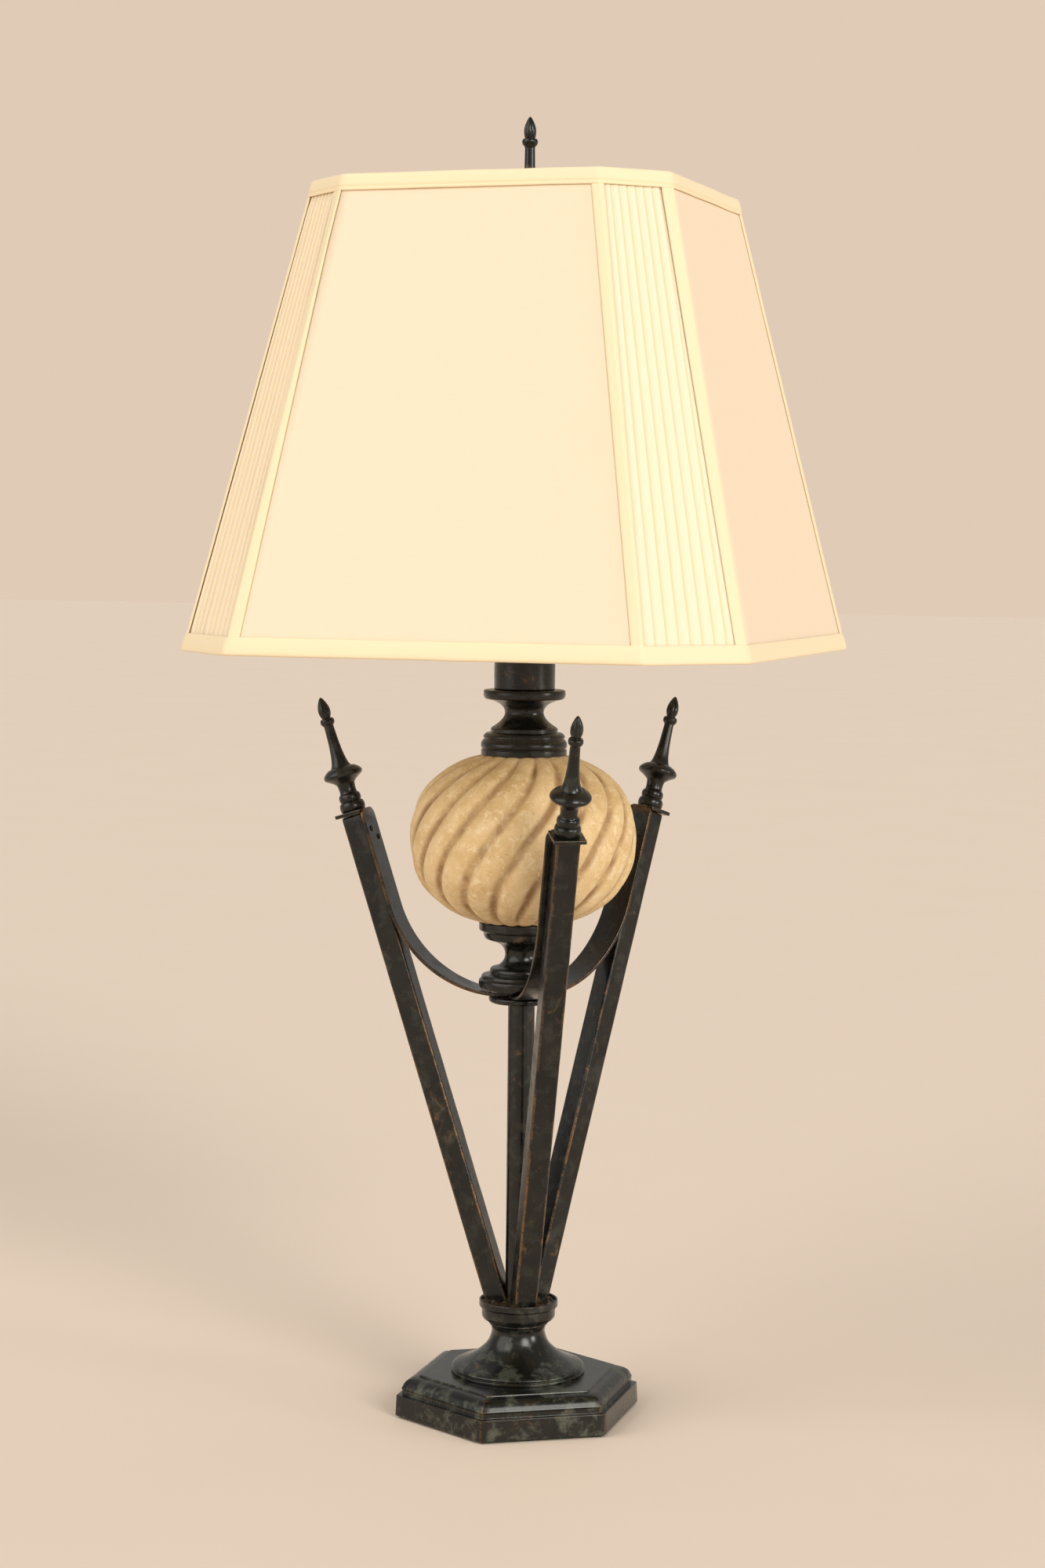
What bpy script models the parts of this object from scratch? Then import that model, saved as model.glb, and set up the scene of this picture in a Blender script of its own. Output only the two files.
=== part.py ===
"""Tripod table lamp: a swirled stone orb held in three raking square-tube arms, under a cut-corner
pleated shade on a harp. Metres, +Z up. The origin is on the lamp's axis at its underside, and the
shade's front panel faces -Y. Azimuths are measured from -Y towards +X."""

import math

import bmesh
import bpy
from mathutils import Matrix, Vector

# ---------------------------------------------------------------- driving dimensions
OVERALL_HEIGHT = 1.2200       # underside to the top finial's tip
GAP = 0.0003                  # clearance kept between pieces that touch
CORNER_COUNT = 6              # sides of the plinth
ARM_COUNT = 3
FIRST_ARM_AZIMUTH = math.radians(31.5)

# centre rod: a hollow threaded pipe that ties the whole stem together
ROD_RADIUS = 0.0048
ROD_BORE_RADIUS = 0.0034
ROD_BOTTOM = 0.0060
STEM_BORE = ROD_RADIUS + GAP
NUT_RADIUS = 0.0105
NUT_HEIGHT = 0.0060
WASHER_RADIUS = 0.0160
WASHER_THICKNESS = 0.0020

# base
FELT_THICKNESS = 0.0017
FELT_INSET = 0.0050
PLINTH_BOTTOM = FELT_THICKNESS + GAP
PLINTH_RADIUS = 0.1190        # at the corners
PLINTH_DRAFT = 0.0010
PLINTH_WALL = 0.0045
FASCIA_TOP = 0.0220
PLINTH_TOP = 0.0400
TOP_PLATE_RADIUS = 0.0957
PLINTH_BORE_RADIUS = 0.0070
WEIGHT_RADIUS = 0.0740
WEIGHT_THICKNESS = 0.0150
BUSHING_HEIGHT = 0.0115       # centre of the cord inlet above the underside
BUSHING_RADIUS = 0.0048
BUSHING_FLANGE_RADIUS = 0.0072
BUSHING_BORE_RADIUS = 0.0034

# pedestal and the cup that gathers the arms
PEDESTAL_RADIUS = 0.0635
PEDESTAL_NECK_RADIUS = 0.0252
PEDESTAL_TOP = 0.0880
PEDESTAL_WALL = 0.0045
CUP_ROOM = 0.0055             # between the arms' feet and the inside of the rim
CUP_RIM = 0.0020
CUP_FLOOR = 0.0980
CUP_TOP = 0.1095

# centre column
COLUMN_RADIUS = 0.0127
COLUMN_WALL = 0.0016

# arms, measured along an arm's own sloping axis from its foot
ARM_LEAN = math.radians(17.95)
ARM_CLOSENESS = 0.0010        # the tubes' rounded edges let their feet stand this much closer
ARM_TUBE = 0.0215
ARM_WALL = 0.0020
ARM_CORNER_RADIUS = 0.0025
ARM_LENGTH = 0.4920
PLATE_SIZE = 0.0300
PLATE_THICKNESS = 0.0035
FINIAL_STUD_RADIUS = 0.0030
FINIAL_STUD_LENGTH = 0.0120

# straps that hang the orb between the arms
STRAP_WIDTH = 0.0320
STRAP_THICKNESS = 0.0030
STRAP_END_RADIUS = 0.0090     # rounding of the strap's upper corners
STRAP_BEND_RADIUS = 0.1150
STRAP_HEIGHT = 0.4004         # underside of the strap's level end
RIVET_RADIUS = 0.0017
RIVET_HEAD_RADIUS = 0.0030
RIVET_HEAD_HEIGHT = 0.0014
RIVET_PLACES = ((0.0050, 0.4750), (-0.0080, 0.4660))   # (across the strap, along the arm)

# seat under the orb
DISC_RADIUS = 0.0311
DISC_THICKNESS = 0.0056
SEAT_RADIUS = 0.0408
SEAT_WAIST_RADIUS = 0.0157

# orb
ORB_RADIUS = 0.1065
ORB_HALF_HEIGHT = 0.0825
ORB_SQUARENESS = 2.3          # exponent of the outline: 2 is an ellipse
ORB_CENTRE = 0.5500
ORB_WALL = 0.0060
ORB_BORE_RADIUS = 0.0140
ORB_LOBES = 18
ORB_GROOVE = 0.0035
ORB_TWIST = math.radians(60)

# collar, neck and its lid
COLLAR_RADIUS = 0.0403
COLLAR_WAIST_RADIUS = 0.0179
FLANGE_RADIUS = 0.0385
FLANGE_TOP = 0.6900
NECK_RADIUS = 0.0286
NECK_WALL = 0.0014
NECK_HEIGHT = 0.1157
LID_THICKNESS = 0.0035
LID_SPIGOT = 0.0030           # how far the lid's rim reaches down inside the neck
LID_WALL = 0.0012

# harp
HARP_WIRE_RADIUS = 0.0022
HARP_HALF_WIDTH = 0.0620
HARP_FOOT_SPREAD = 0.0285     # from the axis to each leg
HARP_FOOT_SPARE = 0.0200      # upright wire left above a lifted sleeve
SADDLE_THICKNESS = 0.0020
SADDLE_WIDTH = 0.0120
POST_HEIGHT = 0.0160
SLEEVE_LENGTH = 0.0160
SLEEVE_WALL = 0.0012
SLEEVE_TRAVEL = 0.0120
SLEEVE_SEAT = 0.0040          # from the saddle up to a sleeve's foot
SLEEVE_FLANGE = 0.0010
HARP_STUD_RADIUS = 0.0031
HARP_STUD_LENGTH = 0.0130
BOSS_RADIUS = 0.0065
BOSS_THICKNESS = 0.0045

# socket and bulb
SOCKET_RADIUS = 0.0185
SOCKET_CAP_HEIGHT = 0.0180
SOCKET_SHELL_HEIGHT = 0.0460
SOCKET_WALL = 0.0008
SOCKET_STEP = 0.0010          # the shell's upper part is this much slimmer
CORE_FLOOR = 0.0150           # from the shell's foot up to the floor under the bulb's cap
ROD_ENGAGEMENT = 0.0070       # how far the rod screws up into the socket
KNOB_RADIUS = 0.0060
KNOB_LENGTH = 0.0160
KNOB_SHAFT_RADIUS = 0.0020
KNOB_REACH = 0.0140           # from the shell to the knob's inner end
KNOB_RISE = 0.0080            # from the shell's foot to the knob's axis
KNOB_SHAFT_END = 0.0090       # from the lamp's axis to the shaft's inner end
KNOB_WELL_END = 0.0080
BULB_RADIUS = 0.0300
BULB_NECK_RADIUS = 0.0125
BULB_HEIGHT = 0.0980
BULB_CAP_RADIUS = 0.0131
BULB_CAP_HEIGHT = 0.0260

# shade, measured over the trims
FINIAL_RISE = 0.0675          # from the shade's top to the finial's tip
SHADE_HEIGHT = 0.4260
SHADE_BOTTOM_HALF = 0.2655    # from the axis to a flat panel
SHADE_TOP_HALF = 0.1695
SHADE_BOTTOM_CUT = 0.0740     # what a cut corner takes off each side
SHADE_TOP_CUT = 0.0510
TRIM_THICKNESS = 0.0013
TOP_TRIM_HEIGHT = 0.0150
BOTTOM_TRIM_HEIGHT = 0.0167
PANEL_THICKNESS = 0.0020
FRAME_WIRE_RADIUS = 0.0016
RING_INSET = 0.0040           # from the shade's edges to the middle of the rings
SPIDER_DROP = 0.0100          # from the shade's top to the hub
SPIDER_HUB_RADIUS = 0.0110
SPIDER_HUB_THICKNESS = 0.0018
SPIDER_WIRE_RADIUS = 0.0016

# smoothness
ROUND_STEPS = 24
SMALL_STEPS = 14
HOLE_STEPS = 10
WIRE_RESOLUTION = 2

# ---------------------------------------------------------------- places worked out from them
WEIGHT_TOP = PLINTH_TOP - PLINTH_WALL - GAP
WEIGHT_BOTTOM = WEIGHT_TOP - WEIGHT_THICKNESS
WASHER_TOP = WEIGHT_BOTTOM - GAP
NUT_TOP = WASHER_TOP - WASHER_THICKNESS - GAP
DISC_TOP = STRAP_HEIGHT - GAP
DISC_BOTTOM = DISC_TOP - DISC_THICKNESS
SEAT_BOTTOM = STRAP_HEIGHT + STRAP_THICKNESS + GAP
NECK_BOTTOM = FLANGE_TOP + GAP
NECK_TOP = NECK_BOTTOM + NECK_HEIGHT
LID_TOP = NECK_TOP + GAP + LID_THICKNESS
TOP_NUT_TOP = LID_TOP + GAP + NUT_HEIGHT
SADDLE_TOP = TOP_NUT_TOP + GAP + SADDLE_THICKNESS
SOCKET_BOTTOM = SADDLE_TOP + GAP
ROD_TOP = SOCKET_BOTTOM + ROD_ENGAGEMENT
SHELL_BOTTOM = SOCKET_BOTTOM + SOCKET_CAP_HEIGHT + GAP
KNOB_HEIGHT = SHELL_BOTTOM + KNOB_RISE
CORE_TOP = SHELL_BOTTOM + CORE_FLOOR
SHADE_TOP = OVERALL_HEIGHT - FINIAL_RISE
SHADE_BOTTOM = SHADE_TOP - SHADE_HEIGHT
HUB_TOP = SHADE_TOP - SPIDER_DROP
HUB_BOTTOM = HUB_TOP - SPIDER_HUB_THICKNESS
BOSS_TOP = HUB_BOTTOM - GAP
BOSS_BOTTOM = BOSS_TOP - BOSS_THICKNESS
HARP_TOP = BOSS_BOTTOM - GAP - HARP_WIRE_RADIUS
FINIAL_BOTTOM = HUB_TOP + GAP
POST_TOP = SADDLE_TOP + POST_HEIGHT
SLEEVE_FOOT = SADDLE_TOP + GAP + SLEEVE_SEAT
HARP_SHOULDER = SLEEVE_FOOT + SLEEVE_LENGTH + SLEEVE_TRAVEL + HARP_FOOT_SPARE
PLATE_BOTTOM = ARM_LENGTH + GAP
PLATE_TOP = PLATE_BOTTOM + PLATE_THICKNESS
STRAP_TOP = PLATE_TOP
SECTOR = 2 * math.pi / ARM_COUNT
ARM_HALF = ARM_TUBE / 2
# a leaning tube's level cut is longer than it is wide, and its neighbours stand a sector away
FOOT_HALF = ARM_HALF / math.cos(ARM_LEAN)
ARM_FOOT_RADIUS = FOOT_HALF + ARM_HALF / math.tan(SECTOR / 2) - ARM_CLOSENESS
CUP_RADIUS = math.hypot(ARM_FOOT_RADIUS + FOOT_HALF, ARM_HALF) + CUP_ROOM + CUP_RIM

parts = bpy.data.collections.new("tripod_table_lamp")
cutters = bpy.data.collections.new("lamp_cutters")


# ---------------------------------------------------------------- tools
def clear_scene():
    for old in list(bpy.data.objects):
        bpy.data.objects.remove(old, do_unlink=True)
    bpy.context.scene.collection.children.link(parts)
    bpy.context.scene.collection.children.link(cutters)


def finish_material(name, colour, roughness, metallic):
    material = bpy.data.materials.new(name)
    material.use_nodes = True
    shader = material.node_tree.nodes["Principled BSDF"]
    shader.inputs["Base Color"].default_value = (*colour, 1.0)
    shader.inputs["Roughness"].default_value = roughness
    shader.inputs["Metallic"].default_value = metallic
    return material


FINISHES = {
    "bronze": ((0.045, 0.040, 0.033), 0.38, 0.9),
    "iron": ((0.10, 0.10, 0.10), 0.70, 0.8),
    "steel": ((0.45, 0.44, 0.42), 0.35, 1.0),
    "brass": ((0.55, 0.40, 0.17), 0.30, 1.0),
    "stone": ((0.62, 0.45, 0.26), 0.60, 0.0),
    "felt": ((0.03, 0.05, 0.03), 0.95, 0.0),
    "porcelain": ((0.80, 0.78, 0.72), 0.30, 0.0),
    "glass": ((0.90, 0.90, 0.88), 0.20, 0.0),
    "silk": ((0.90, 0.78, 0.56), 0.75, 0.0),
    "white_wire": ((0.80, 0.79, 0.75), 0.45, 0.0),
    "black": ((0.02, 0.02, 0.02), 0.45, 0.0),
}


def add_piece(name, mesh, finish):
    """Puts a mesh in the parts collection as a named object with a material of its own."""
    piece = bpy.data.objects.new(name, mesh)
    parts.objects.link(piece)
    if not mesh.materials:
        mesh.materials.append(finish_material(name + "_finish", *FINISHES[finish]))
    return piece


def mesh_from(shape, name):
    bmesh.ops.recalc_face_normals(shape, faces=shape.faces)
    mesh = bpy.data.meshes.new(name)
    shape.to_mesh(mesh)
    shape.free()
    return mesh


def smooth_round(mesh, angle=35):
    mesh.shade_smooth()
    mesh.set_sharp_from_angle(angle=math.radians(angle))


def profile_mesh(name, profile, closed):
    """A chain of points (radius, height) in the XZ plane, the start of a turned piece."""
    shape = bmesh.new()
    corners = [shape.verts.new((radius, 0, height)) for radius, height in profile]
    for first, second in zip(corners, corners[1:]):
        shape.edges.new((first, second))
    if closed:
        shape.edges.new((corners[-1], corners[0]))
    mesh = bpy.data.meshes.new(name)
    shape.to_mesh(mesh)
    shape.free()
    return mesh


def turned(name, profile, finish, steps=ROUND_STEPS, closed=True, collection=parts):
    """Turns a profile about Z. It runs down the outer side, then back up the bore if closed."""
    piece = bpy.data.objects.new(name, profile_mesh(name, profile, closed))
    collection.objects.link(piece)
    screw = piece.modifiers.new("turn", "SCREW")
    screw.axis = "Z"
    screw.steps = steps
    screw.render_steps = steps
    screw.use_merge_vertices = True
    screw.merge_threshold = 0.00001
    screw.use_smooth_shade = steps > CORNER_COUNT
    if finish:
        piece.data.materials.append(finish_material(name + "_finish", *FINISHES[finish]))
    return piece


def rod_cutter(name, radius, start, end, steps=SMALL_STEPS):
    """A round cutter between two points."""
    axis = Vector(end) - Vector(start)
    shape = bmesh.new()
    bmesh.ops.create_cone(shape, cap_ends=True, segments=steps, radius1=radius, radius2=radius,
                          depth=axis.length)
    turn = axis.to_track_quat("Z", "Y").to_matrix().to_4x4()
    middle = Matrix.Translation((Vector(start) + Vector(end)) / 2)
    bmesh.ops.transform(shape, matrix=middle @ turn, verts=shape.verts)
    return add_cutter(name, mesh_from(shape, name))


def add_cutter(name, mesh):
    cutter = bpy.data.objects.new(name, mesh)
    cutters.objects.link(cutter)
    cutter.hide_render = True
    cutter.display_type = "WIRE"
    return cutter


def boolean(piece, other, operation="DIFFERENCE"):
    step = piece.modifiers.new(operation.lower(), "BOOLEAN")
    step.operation = operation
    step.solver = "EXACT"
    step.object = other


def evaluated_mesh(piece, name):
    """The mesh that an object shows, with its modifiers applied."""
    bpy.context.view_layer.update()
    seen = piece.evaluated_get(bpy.context.evaluated_depsgraph_get())
    mesh = bpy.data.meshes.new_from_object(seen)
    mesh.name = name
    mesh.transform(piece.matrix_world)
    return mesh


def repeat_round(name, mesh, finish):
    """Copies a piece, made on the +X side, to each arm's azimuth."""
    for index in range(ARM_COUNT):
        copy = add_piece(f"{name}_{index + 1}", mesh, finish)
        copy.rotation_euler.z = arm_turn(index)


def arm_turn(index):
    """Turn about Z that brings the +X side to an arm's azimuth."""
    return FIRST_ARM_AZIMUTH + index * SECTOR - math.pi / 2


def wire_mesh(name, points, radius, cyclic=False, resolution=WIRE_RESOLUTION):
    """A round wire along straight stretches, as a closed mesh."""
    curve = bpy.data.curves.new(name, "CURVE")
    curve.dimensions = "3D"
    curve.bevel_depth = radius
    curve.bevel_resolution = resolution
    curve.use_fill_caps = True
    spline = curve.splines.new("POLY")
    spline.points.add(len(points) - 1)
    for place, point in zip(spline.points, points):
        place.co = (*point, 1.0)
    spline.use_cyclic_u = cyclic
    guide = bpy.data.objects.new(name + "_guide", curve)
    cutters.objects.link(guide)
    mesh = evaluated_mesh(guide, name)
    bpy.data.objects.remove(guide, do_unlink=True)
    shape = bmesh.new()
    shape.from_mesh(mesh)
    bmesh.ops.remove_doubles(shape, verts=shape.verts, dist=0.00001)
    return mesh_from(shape, name)


def joined(meshes, name):
    shape = bmesh.new()
    for mesh in meshes:
        shape.from_mesh(mesh)
    return mesh_from(shape, name)


def block_mesh(name, low, high, bevel=0.0, segments=2):
    size = Vector(high) - Vector(low)
    middle = (Vector(high) + Vector(low)) / 2
    shape = bmesh.new()
    bmesh.ops.create_cube(shape, size=1.0)
    bmesh.ops.scale(shape, vec=size, verts=shape.verts)
    bmesh.ops.translate(shape, vec=middle, verts=shape.verts)
    if bevel:
        bmesh.ops.bevel(shape, geom=shape.edges[:], offset=bevel, affect="EDGES", segments=segments,
                        profile=0.5)
    return mesh_from(shape, name)


# ---------------------------------------------------------------- shapes that several pieces share
def orb_height(radius):
    """How far the orb's outline lies from its middle plane at a distance from the axis."""
    share = 1 - (radius / ORB_RADIUS) ** ORB_SQUARENESS
    return ORB_HALF_HEIGHT * share ** (1 / ORB_SQUARENESS)


def along_arm(distance, inward=0.0):
    """(radius, height) of a point along an arm's axis, moved towards the lamp's axis."""
    radius = ARM_FOOT_RADIUS + distance * math.sin(ARM_LEAN) - inward * math.cos(ARM_LEAN)
    height = CUP_FLOOR + distance * math.cos(ARM_LEAN) + inward * math.sin(ARM_LEAN)
    return radius, height


def arm_frame(distance=0.0):
    """Places a shape made upright at the origin on an arm's axis, on the +X side."""
    radius, height = along_arm(distance)
    return Matrix.Translation((radius, 0, height)) @ Matrix.Rotation(ARM_LEAN, 4, "Y")


def strap_path():
    """Centre line (radius, height) of a strap, from its top down to its level inner end."""
    inward = ARM_HALF + GAP + STRAP_THICKNESS / 2
    level = STRAP_HEIGHT + STRAP_THICKNESS / 2
    bend_height = level + STRAP_BEND_RADIUS
    # the bend touches the sloping stretch where it has turned through all but the arm's lean
    start_height = bend_height - STRAP_BEND_RADIUS * math.sin(ARM_LEAN)
    foot_radius, foot_height = along_arm(0, inward)
    distance = (start_height - foot_height) / math.cos(ARM_LEAN)
    start_radius = foot_radius + distance * math.sin(ARM_LEAN)
    bend_centre = start_radius - STRAP_BEND_RADIUS * math.cos(ARM_LEAN)
    points = [along_arm(STRAP_TOP, inward)]
    turns = 8
    for step in range(turns + 1):
        angle = ARM_LEAN + (math.pi / 2 - ARM_LEAN) * step / turns
        points.append((bend_centre + STRAP_BEND_RADIUS * math.cos(angle),
                       bend_height - STRAP_BEND_RADIUS * math.sin(angle)))
    inner_end = (STRAP_WIDTH / 2) / math.tan(SECTOR / 2) + GAP
    points.append((inner_end, level))
    return points


def octagon(half, cut, height):
    """The eight corners of a square with cut corners, from the front's left end round to the right."""
    reach = half - cut
    flat = [(-reach, -half), (reach, -half), (half, -reach), (half, reach)]
    return [Vector((x, y, height)) for x, y in flat] + [Vector((-x, -y, height)) for x, y in flat]


def shade_octagon(height, inset):
    """The shade's outline at a height, set in from its outer face by a distance along the normal."""
    share = (height - SHADE_BOTTOM) / (SHADE_TOP - SHADE_BOTTOM)
    half = SHADE_BOTTOM_HALF + (SHADE_TOP_HALF - SHADE_BOTTOM_HALF) * share
    cut = SHADE_BOTTOM_CUT + (SHADE_TOP_CUT - SHADE_BOTTOM_CUT) * share
    rise = SHADE_TOP - SHADE_BOTTOM
    corner_bottom = (2 * SHADE_BOTTOM_HALF - SHADE_BOTTOM_CUT) / math.sqrt(2)
    corner_top = (2 * SHADE_TOP_HALF - SHADE_TOP_CUT) / math.sqrt(2)
    flat_slope = math.hypot(1, (SHADE_BOTTOM_HALF - SHADE_TOP_HALF) / rise)
    corner_slope = math.hypot(1, (corner_bottom - corner_top) / rise)
    corner = (2 * half - cut) / math.sqrt(2) - inset * corner_slope
    half -= inset * flat_slope
    return octagon(half, 2 * half - corner * math.sqrt(2), height)


# ---------------------------------------------------------------- base
def make_felt():
    radius = PLINTH_RADIUS - FELT_INSET
    turned("base_felt", [(0, FELT_THICKNESS), (radius, FELT_THICKNESS), (radius, 0), (0, 0)],
           "felt", steps=CORNER_COUNT, closed=False).rotation_euler.z = plinth_turn()


def plinth_turn():
    """Turns a six-sided piece so that its flats face the arms."""
    return FIRST_ARM_AZIMUTH - math.pi / 2 + math.pi / CORNER_COUNT


def make_plinth():
    fascia_radius = PLINTH_RADIUS - PLINTH_DRAFT
    ledge = fascia_radius - 0.0040
    moulding = TOP_PLATE_RADIUS
    height = PLINTH_TOP - FASCIA_TOP
    outer = [
        (PLINTH_BORE_RADIUS, PLINTH_TOP),
        (moulding, PLINTH_TOP),
        (moulding + 0.0030, PLINTH_TOP - 0.0012),
        (moulding + 0.0050, PLINTH_TOP - 0.22 * height),
        (moulding + 0.0072, PLINTH_TOP - 0.45 * height),
        (moulding + 0.0112, PLINTH_TOP - 0.70 * height),
        (ledge, PLINTH_TOP - 0.88 * height),
        (ledge, FASCIA_TOP),
        (fascia_radius, FASCIA_TOP),
        (PLINTH_RADIUS, PLINTH_BOTTOM),
    ]
    hollow_top = PLINTH_TOP - PLINTH_WALL
    hollow_radius = moulding - PLINTH_WALL
    inner = [
        (PLINTH_RADIUS - PLINTH_WALL, PLINTH_BOTTOM),
        (fascia_radius - PLINTH_WALL, FASCIA_TOP - PLINTH_WALL),
        (hollow_radius, hollow_top),
        (PLINTH_BORE_RADIUS, hollow_top),
    ]
    plinth = turned("base_plinth", outer + inner, "bronze", steps=CORNER_COUNT)
    plinth.rotation_euler.z = plinth_turn()
    reach = PLINTH_RADIUS
    away = bushing_direction()
    start = away * (reach * 0.6) + Vector((0, 0, BUSHING_HEIGHT))
    end = away * (reach * 1.2) + Vector((0, 0, BUSHING_HEIGHT))
    boolean(plinth, rod_cutter("bushing_hole", BUSHING_RADIUS + GAP, start, end))


def bushing_direction():
    """The cord inlet is in the flat opposite the first arm."""
    azimuth = FIRST_ARM_AZIMUTH + math.pi
    return Vector((math.sin(azimuth), -math.cos(azimuth), 0))


def make_bushing():
    face = PLINTH_RADIUS * math.cos(math.pi / CORNER_COUNT) + GAP
    inner = face - GAP - PLINTH_WALL - 0.0030
    lip = 0.0018
    profile = [
        (BUSHING_BORE_RADIUS, face + lip),
        (BUSHING_FLANGE_RADIUS - 0.0012, face + lip),
        (BUSHING_FLANGE_RADIUS, face + lip * 0.4),
        (BUSHING_FLANGE_RADIUS, face),
        (BUSHING_RADIUS, face),
        (BUSHING_RADIUS, inner),
        (BUSHING_BORE_RADIUS, inner),
    ]
    bushing = turned("cord_bushing", profile, "black", steps=SMALL_STEPS)
    bushing.rotation_euler = bushing_direction().to_track_quat("Z", "Y").to_euler()
    bushing.location.z = BUSHING_HEIGHT


def ring_profile(bore, radius, low, high):
    return [(bore, high), (radius, high), (radius, low), (bore, low)]


def make_weight():
    turned("base_weight", ring_profile(STEM_BORE, WEIGHT_RADIUS, WEIGHT_BOTTOM, WEIGHT_TOP), "iron")


def make_washer():
    low = WASHER_TOP - WASHER_THICKNESS
    turned("base_washer", ring_profile(STEM_BORE, WASHER_RADIUS, low, WASHER_TOP), "steel",
           steps=SMALL_STEPS)


def make_nut(name, top, finish):
    profile = ring_profile(STEM_BORE / math.cos(math.pi / CORNER_COUNT), NUT_RADIUS, top - NUT_HEIGHT, top)
    turned(name, profile, finish, steps=CORNER_COUNT)


def make_rod():
    turned("centre_rod", ring_profile(ROD_BORE_RADIUS, ROD_RADIUS, ROD_BOTTOM, ROD_TOP), "steel",
           steps=SMALL_STEPS)


# ---------------------------------------------------------------- pedestal, cup, column
def make_pedestal():
    foot = PLINTH_TOP + GAP
    rise = PEDESTAL_TOP - foot
    neck = PEDESTAL_NECK_RADIUS
    spread = PEDESTAL_RADIUS - neck
    # shares of the spread and of the rise, down the bell-shaped outside
    bell = [(0.05, 0.80), (0.15, 0.62), (0.31, 0.47), (0.49, 0.33), (0.70, 0.23), (0.90, 0.155),
            (0.99, 0.11)]
    outer = [
        (STEM_BORE, PEDESTAL_TOP),
        (neck + 0.0033, PEDESTAL_TOP),
        (neck + 0.0010, PEDESTAL_TOP - 0.0035),
        (neck, PEDESTAL_TOP - 0.0080),
    ]
    outer += [(neck + spread * out, foot + rise * up) for out, up in bell]
    outer.append((PEDESTAL_RADIUS, foot + 0.0022))
    outer.append((PEDESTAL_RADIUS, foot))
    hollow_neck = neck - PEDESTAL_WALL
    inner = [
        (PEDESTAL_RADIUS - PEDESTAL_WALL, foot),
        (neck + spread * 0.49, foot + rise * 0.33 - PEDESTAL_WALL),
        (hollow_neck, foot + rise * 0.62),
        (hollow_neck, PEDESTAL_TOP - PEDESTAL_WALL),
        (STEM_BORE, PEDESTAL_TOP - PEDESTAL_WALL),
    ]
    turned("pedestal", outer + inner, "bronze")


def make_cup():
    foot = PEDESTAL_TOP + GAP
    belly = CUP_RADIUS - 0.0033
    profile = [
        (STEM_BORE, CUP_FLOOR - GAP),
        (CUP_RADIUS - CUP_RIM, CUP_FLOOR - GAP),
        (CUP_RADIUS - CUP_RIM, CUP_TOP),
        (CUP_RADIUS, CUP_TOP),
        (CUP_RADIUS, CUP_TOP - 0.0060),
        (CUP_RADIUS - 0.0010, CUP_TOP - 0.0072),
        (belly, CUP_TOP - 0.0080),
        (belly + 0.0003, CUP_TOP - 0.0120),
        (belly - 0.0006, CUP_TOP - 0.0165),
        (PEDESTAL_NECK_RADIUS + 0.0050, foot),
        (STEM_BORE, foot),
    ]
    turned("arm_cup", profile, "bronze")


def make_column():
    profile = ring_profile(COLUMN_RADIUS - COLUMN_WALL, COLUMN_RADIUS, CUP_FLOOR, DISC_BOTTOM - GAP)
    turned("centre_column", profile, "bronze")


# ---------------------------------------------------------------- arms
def rounded_square(half, corner_radius, segments):
    """Corner points of a square with rounded corners, counter-clockwise."""
    points = []
    reach = half - corner_radius
    for quarter in range(4):
        middle = math.pi / 4 + quarter * math.pi / 2
        centre = Vector((math.copysign(reach, math.cos(middle)), math.copysign(reach, math.sin(middle))))
        for step in range(segments + 1):
            angle = quarter * math.pi / 2 + math.pi / 2 * step / segments
            points.append(centre + corner_radius * Vector((math.cos(angle), math.sin(angle))))
    return points


def arm_tube_mesh():
    """A square tube along the arm's axis: square across at the top, cut level where it stands."""
    segments = 2
    outline = rounded_square(ARM_HALF, ARM_CORNER_RADIUS, segments)
    bore_corner = max(ARM_CORNER_RADIUS - ARM_WALL, 0.0004)
    bore = rounded_square(ARM_HALF - ARM_WALL, bore_corner, segments)
    shape = bmesh.new()
    rings = []
    for points in (outline, bore):
        top = [shape.verts.new((p.x, p.y, ARM_LENGTH)) for p in points]
        # a level cut: each long edge ends where it meets the cup's floor
        foot = [shape.verts.new((p.x, p.y, p.x * math.tan(ARM_LEAN))) for p in points]
        rings.append((top, foot))
    count = len(outline)
    (outer_top, outer_foot), (bore_top, bore_foot) = rings
    for index in range(count):
        following = (index + 1) % count
        shape.faces.new((outer_top[index], outer_foot[index], outer_foot[following], outer_top[following]))
        shape.faces.new((bore_top[index], bore_top[following], bore_foot[following], bore_foot[index]))
        shape.faces.new((outer_top[index], outer_top[following], bore_top[following], bore_top[index]))
        shape.faces.new((outer_foot[index], bore_foot[index], bore_foot[following], outer_foot[following]))
    bmesh.ops.transform(shape, matrix=arm_frame(), verts=shape.verts)
    return mesh_from(shape, "arm_tube")


def rivet_line(across, along, start, end):
    """Two points on a rivet's axis, at distances inward from the arm's own axis."""
    points = []
    for inward in (start, end):
        radius, height = along_arm(along, inward)
        points.append(Vector((radius, across, height)))
    return points


def make_arms():
    tube = bpy.data.objects.new("arm_pattern", arm_tube_mesh())
    cutters.objects.link(tube)
    clear_radius = COLUMN_RADIUS + GAP
    low, high = (0, 0, CUP_FLOOR - 0.01), (0, 0, CUP_FLOOR + 0.08)
    boolean(tube, rod_cutter("column_notch", clear_radius, low, high, steps=ROUND_STEPS))
    for number, (across, along) in enumerate(RIVET_PLACES):
        line = rivet_line(across, along, 0, ARM_HALF + 0.010)
        boolean(tube, rod_cutter(f"rivet_hole_{number}", RIVET_RADIUS + GAP, *line, steps=HOLE_STEPS))
    mesh = evaluated_mesh(tube, "arm_tube")
    bpy.data.objects.remove(tube, do_unlink=True)
    repeat_round("arm", mesh, "bronze")


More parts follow.
